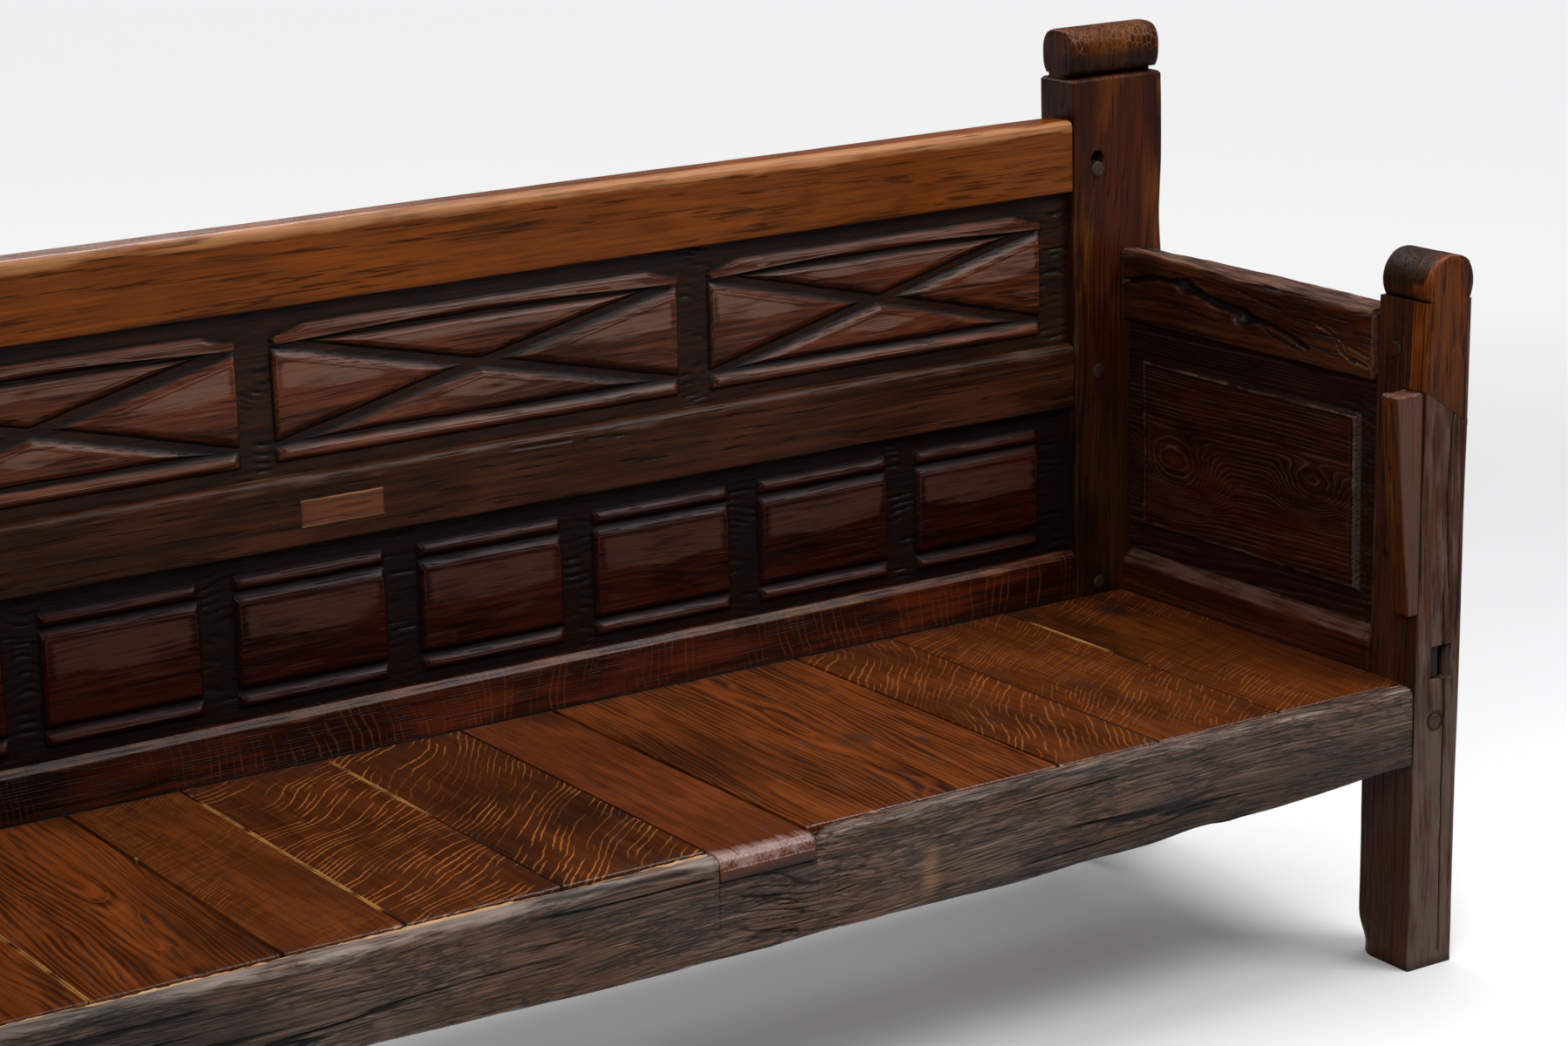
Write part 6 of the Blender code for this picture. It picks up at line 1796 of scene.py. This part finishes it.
class BENCH_OT_stage(bpy.types.Operator):
    """Lays the pale floor, hangs the soft lamps and sets up the camera"""

    bl_idname = "bench.stage"
    bl_label = "Stage"

    def execute(self, context):
        stage = settings()[2]
        self.lay_floor(stage)
        self.light(stage)
        self.set_camera(stage)
        context.scene.view_settings.view_transform = "Standard"
        return {"FINISHED"}

    def lay_floor(self, stage):
        """A broad flat grid with a faint unevenness, pale where the camera or a reflection sees it.

        To light that bounces off it, it is darker, and far away it glows a little, as a backdrop does.
        """
        line = np.linspace(-FLOOR_HALF, FLOOR_HALF, 9)
        x, y = np.meshgrid(line, line, indexing="ij")
        points = np.stack((x, y, np.zeros_like(x)), -1).reshape(-1, 3)
        i, j = np.meshgrid(np.arange(8), np.arange(8), indexing="ij")
        faces = np.stack((i * 9 + j, (i + 1) * 9 + j, (i + 1) * 9 + j + 1, i * 9 + j + 1), -1).reshape(-1, 4)
        mesh = bpy.data.meshes.new("studio_floor")
        mesh.from_pydata(points.tolist(), [], faces.tolist())
        floor = bpy.data.objects.new("studio_floor", mesh)
        bpy.context.scene.collection.objects.link(floor)
        made = Recipe("studio_floor_paint")
        point = made.node("ShaderNodeTexCoord", {}, {}, 3)
        cloud = made.noise(point, (1.4, 1.4), 4.0, 2.0)
        colour = made.mix(cloud * 0.5, stage.floor, shade(stage.floor, 0.93))
        rays = ("Is Camera Ray", "Is Glossy Ray", "Is Transmission Ray")
        camera, glossy, passed = (made.node("ShaderNodeLightPath", {}, {}, ray) for ray in rays)
        seen = (camera + glossy + passed).rise(0.0, 1.0)
        away = made.node("ShaderNodeVectorMath", {"operation": "LENGTH"}, {0: point}, 1)
        colour = made.mix(seen, shade(stage.floor, 0.21), colour)
        glow = made.mix(away.rise(0.7, 5.5) * seen, (0, 0, 0), shade(stage.floor, 0.78))
        made.give(Base_Color=colour, Roughness=0.55 + cloud * 0.1)
        made.give(Emission_Color=glow, Emission_Strength=1.0)
        mesh.materials.append(made.material)

    def light(self, stage):
        """An even pale sky and four broad lamps."""
        world = bpy.data.worlds.new("pale_studio")
        bpy.context.scene.world = world
        world.use_nodes = True
        sky = world.node_tree.nodes["Background"]
        sky.inputs["Color"].default_value = (0.94, 0.96, 1.0, 1.0)
        sky.inputs["Strength"].default_value = stage.sky
        lamps = (
            ("key_lamp", (1.3, 0.1, 3.6), (0.4, 0.1, 0.4), 2.6, 130, stage.key_power),
            ("right_lamp", (2.0, -1.9, 3.2), (0.3, 0.2, 0.7), 1.5, 80, stage.right_power),
            ("fill_lamp", (-2.8, -3.0, 3.2), (0.2, 0.2, 0.6), 1.8, 80, stage.fill_power),
            ("rear_lamp", (0.6, 3.2, 2.9), (0.0, 0.3, 0.6), 1.8, 90, stage.rear_power),
        )
        for name, place, aim, size, spread_angle, power in lamps:
            data = bpy.data.lights.new(name, "AREA")
            data.shape = "SQUARE"
            data.size = size
            data.spread = math.radians(spread_angle)
            data.energy = power
            lamp = bpy.data.objects.new(name, data)
            away = Vector(place) - Vector(aim)
            lamp.rotation_euler = away.to_track_quat("Z", "Y").to_euler()
            lamp.location = place
            bpy.context.scene.collection.objects.link(lamp)

    def set_camera(self, stage):
        """The camera stands and leans as the photograph's did."""
        data = bpy.data.cameras.new("bench_camera")
        data.sensor_fit = "HORIZONTAL"
        data.sensor_width = 36.0
        data.lens = stage.camera_lens
        data.clip_end = 100.0
        camera = bpy.data.objects.new("bench_camera", data)
        turn = Matrix.Rotation(-stage.camera_azimuth, 4, "Z")
        drop = Matrix.Rotation(math.pi / 2 - stage.camera_drop, 4, "X")
        roll = Matrix.Rotation(-stage.camera_roll, 4, "Z")
        camera.matrix_world = Matrix.Translation(stage.camera_place) @ turn @ drop @ roll
        bpy.context.scene.collection.objects.link(camera)
        bpy.context.scene.camera = camera


class BENCH_OT_back_posts(bpy.types.Operator):
    """Shapes both back posts with their rolls"""

    bl_idname = "bench.back_posts"
    bl_label = "Back posts"

    def execute(self, context):
        wear, colours, _ = settings()
        for end in ENDS:
            back_post(end, wear, colours)
        return {"FINISHED"}


class BENCH_OT_front_posts(bpy.types.Operator):
    """Shapes both front posts, and the new block and wedge of the right one"""

    bl_idname = "bench.front_posts"
    bl_label = "Front posts"

    def execute(self, context):
        wear, colours, _ = settings()
        for end in ENDS:
            front_post(end, wear, colours)
        post_block(colours)
        post_wedge(colours)
        return {"FINISHED"}


class BENCH_OT_back_rails(bpy.types.Operator):
    """Shapes the three rails of the back and the patch in the middle one"""

    bl_idname = "bench.back_rails"
    bl_label = "Back rails"

    def execute(self, context):
        colours = settings()[1]
        top_rail(colours)
        mid_rail(colours)
        bottom_rail(colours)
        return {"FINISHED"}


class BENCH_OT_carved_boards(bpy.types.Operator):
    """Carves the two boards of the back"""

    bl_idname = "bench.carved_boards"
    bl_label = "Carved boards"

    def execute(self, context):
        wear, colours, _ = settings()
        lower_board(wear, colours)
        upper_board(wear, colours)
        return {"FINISHED"}


class BENCH_OT_seat(bpy.types.Operator):
    """Shapes the ten seat boards"""

    bl_idname = "bench.seat"
    bl_label = "Seat boards"

    def execute(self, context):
        wear, colours, _ = settings()
        for number in SEAT_LOOKS:
            seat_board(number, wear, colours)
        return {"FINISHED"}


class BENCH_OT_front_rail(bpy.types.Operator):
    """Weathers the front rail"""

    bl_idname = "bench.front_rail"
    bl_label = "Front rail"

    def execute(self, context):
        wear, colours, _ = settings()
        front_rail(wear, colours)
        return {"FINISHED"}


class BENCH_OT_ends(bpy.types.Operator):
    """Shapes the arms, sills and panels of both ends"""

    bl_idname = "bench.ends"
    bl_label = "Ends"

    def execute(self, context):
        colours = settings()[1]
        for end in ENDS:
            arm_rail(end, colours)
            arm_sill(end, colours)
            arm_panel(end, colours)
        return {"FINISHED"}


class BENCH_OT_pegs(bpy.types.Operator):
    """Shapes every peg"""

    bl_idname = "bench.pegs"
    bl_label = "Pegs"

    def execute(self, context):
        colours = settings()[1]
        pegs = sorted(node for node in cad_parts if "_peg_" in node)
        for index, node in enumerate(pegs):
            peg(node, colours, index + 1)
        return {"FINISHED"}


STEPS = (
    BENCH_OT_stage, BENCH_OT_back_posts, BENCH_OT_front_posts, BENCH_OT_back_rails,
    BENCH_OT_carved_boards, BENCH_OT_seat, BENCH_OT_front_rail, BENCH_OT_ends, BENCH_OT_pegs,
)


class BENCH_PT_panel(bpy.types.Panel):
    """Lists the bench's settings and the steps that build it"""

    bl_idname = "BENCH_PT_panel"
    bl_label = "Rustic Bench"
    bl_space_type = "VIEW_3D"
    bl_region_type = "UI"
    bl_category = "Bench"

    def draw(self, context):
        layout = self.layout
        for made in STEPS:
            layout.operator(made.bl_idname)
        for group in settings():
            box = layout.box()
            for key in group.bl_rna.properties.keys():
                if key not in ("rna_type", "name"):
                    box.prop(group, key)


GROUPS = {"bench_wear": BenchWear, "bench_colours": BenchColours, "bench_stage": BenchStage}


def register():
    """Registers the classes and gives the scene its settings."""
    for made in (*GROUPS.values(), *STEPS, BENCH_PT_panel):
        bpy.utils.register_class(made)
    for key, group in GROUPS.items():
        setattr(bpy.types.Scene, key, PointerProperty(type=group))


def unregister():
    """Takes the settings and classes away again."""
    for key in GROUPS:
        delattr(bpy.types.Scene, key)
    for made in (BENCH_PT_panel, *reversed(STEPS), *reversed(GROUPS.values())):
        bpy.utils.unregister_class(made)


def main():
    """Builds the bench step by step."""
    register()
    for made in STEPS:
        group, name = made.bl_idname.split(".")
        getattr(getattr(bpy.ops, group), name)()
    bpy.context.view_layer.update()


if __name__ == "__main__":
    main()
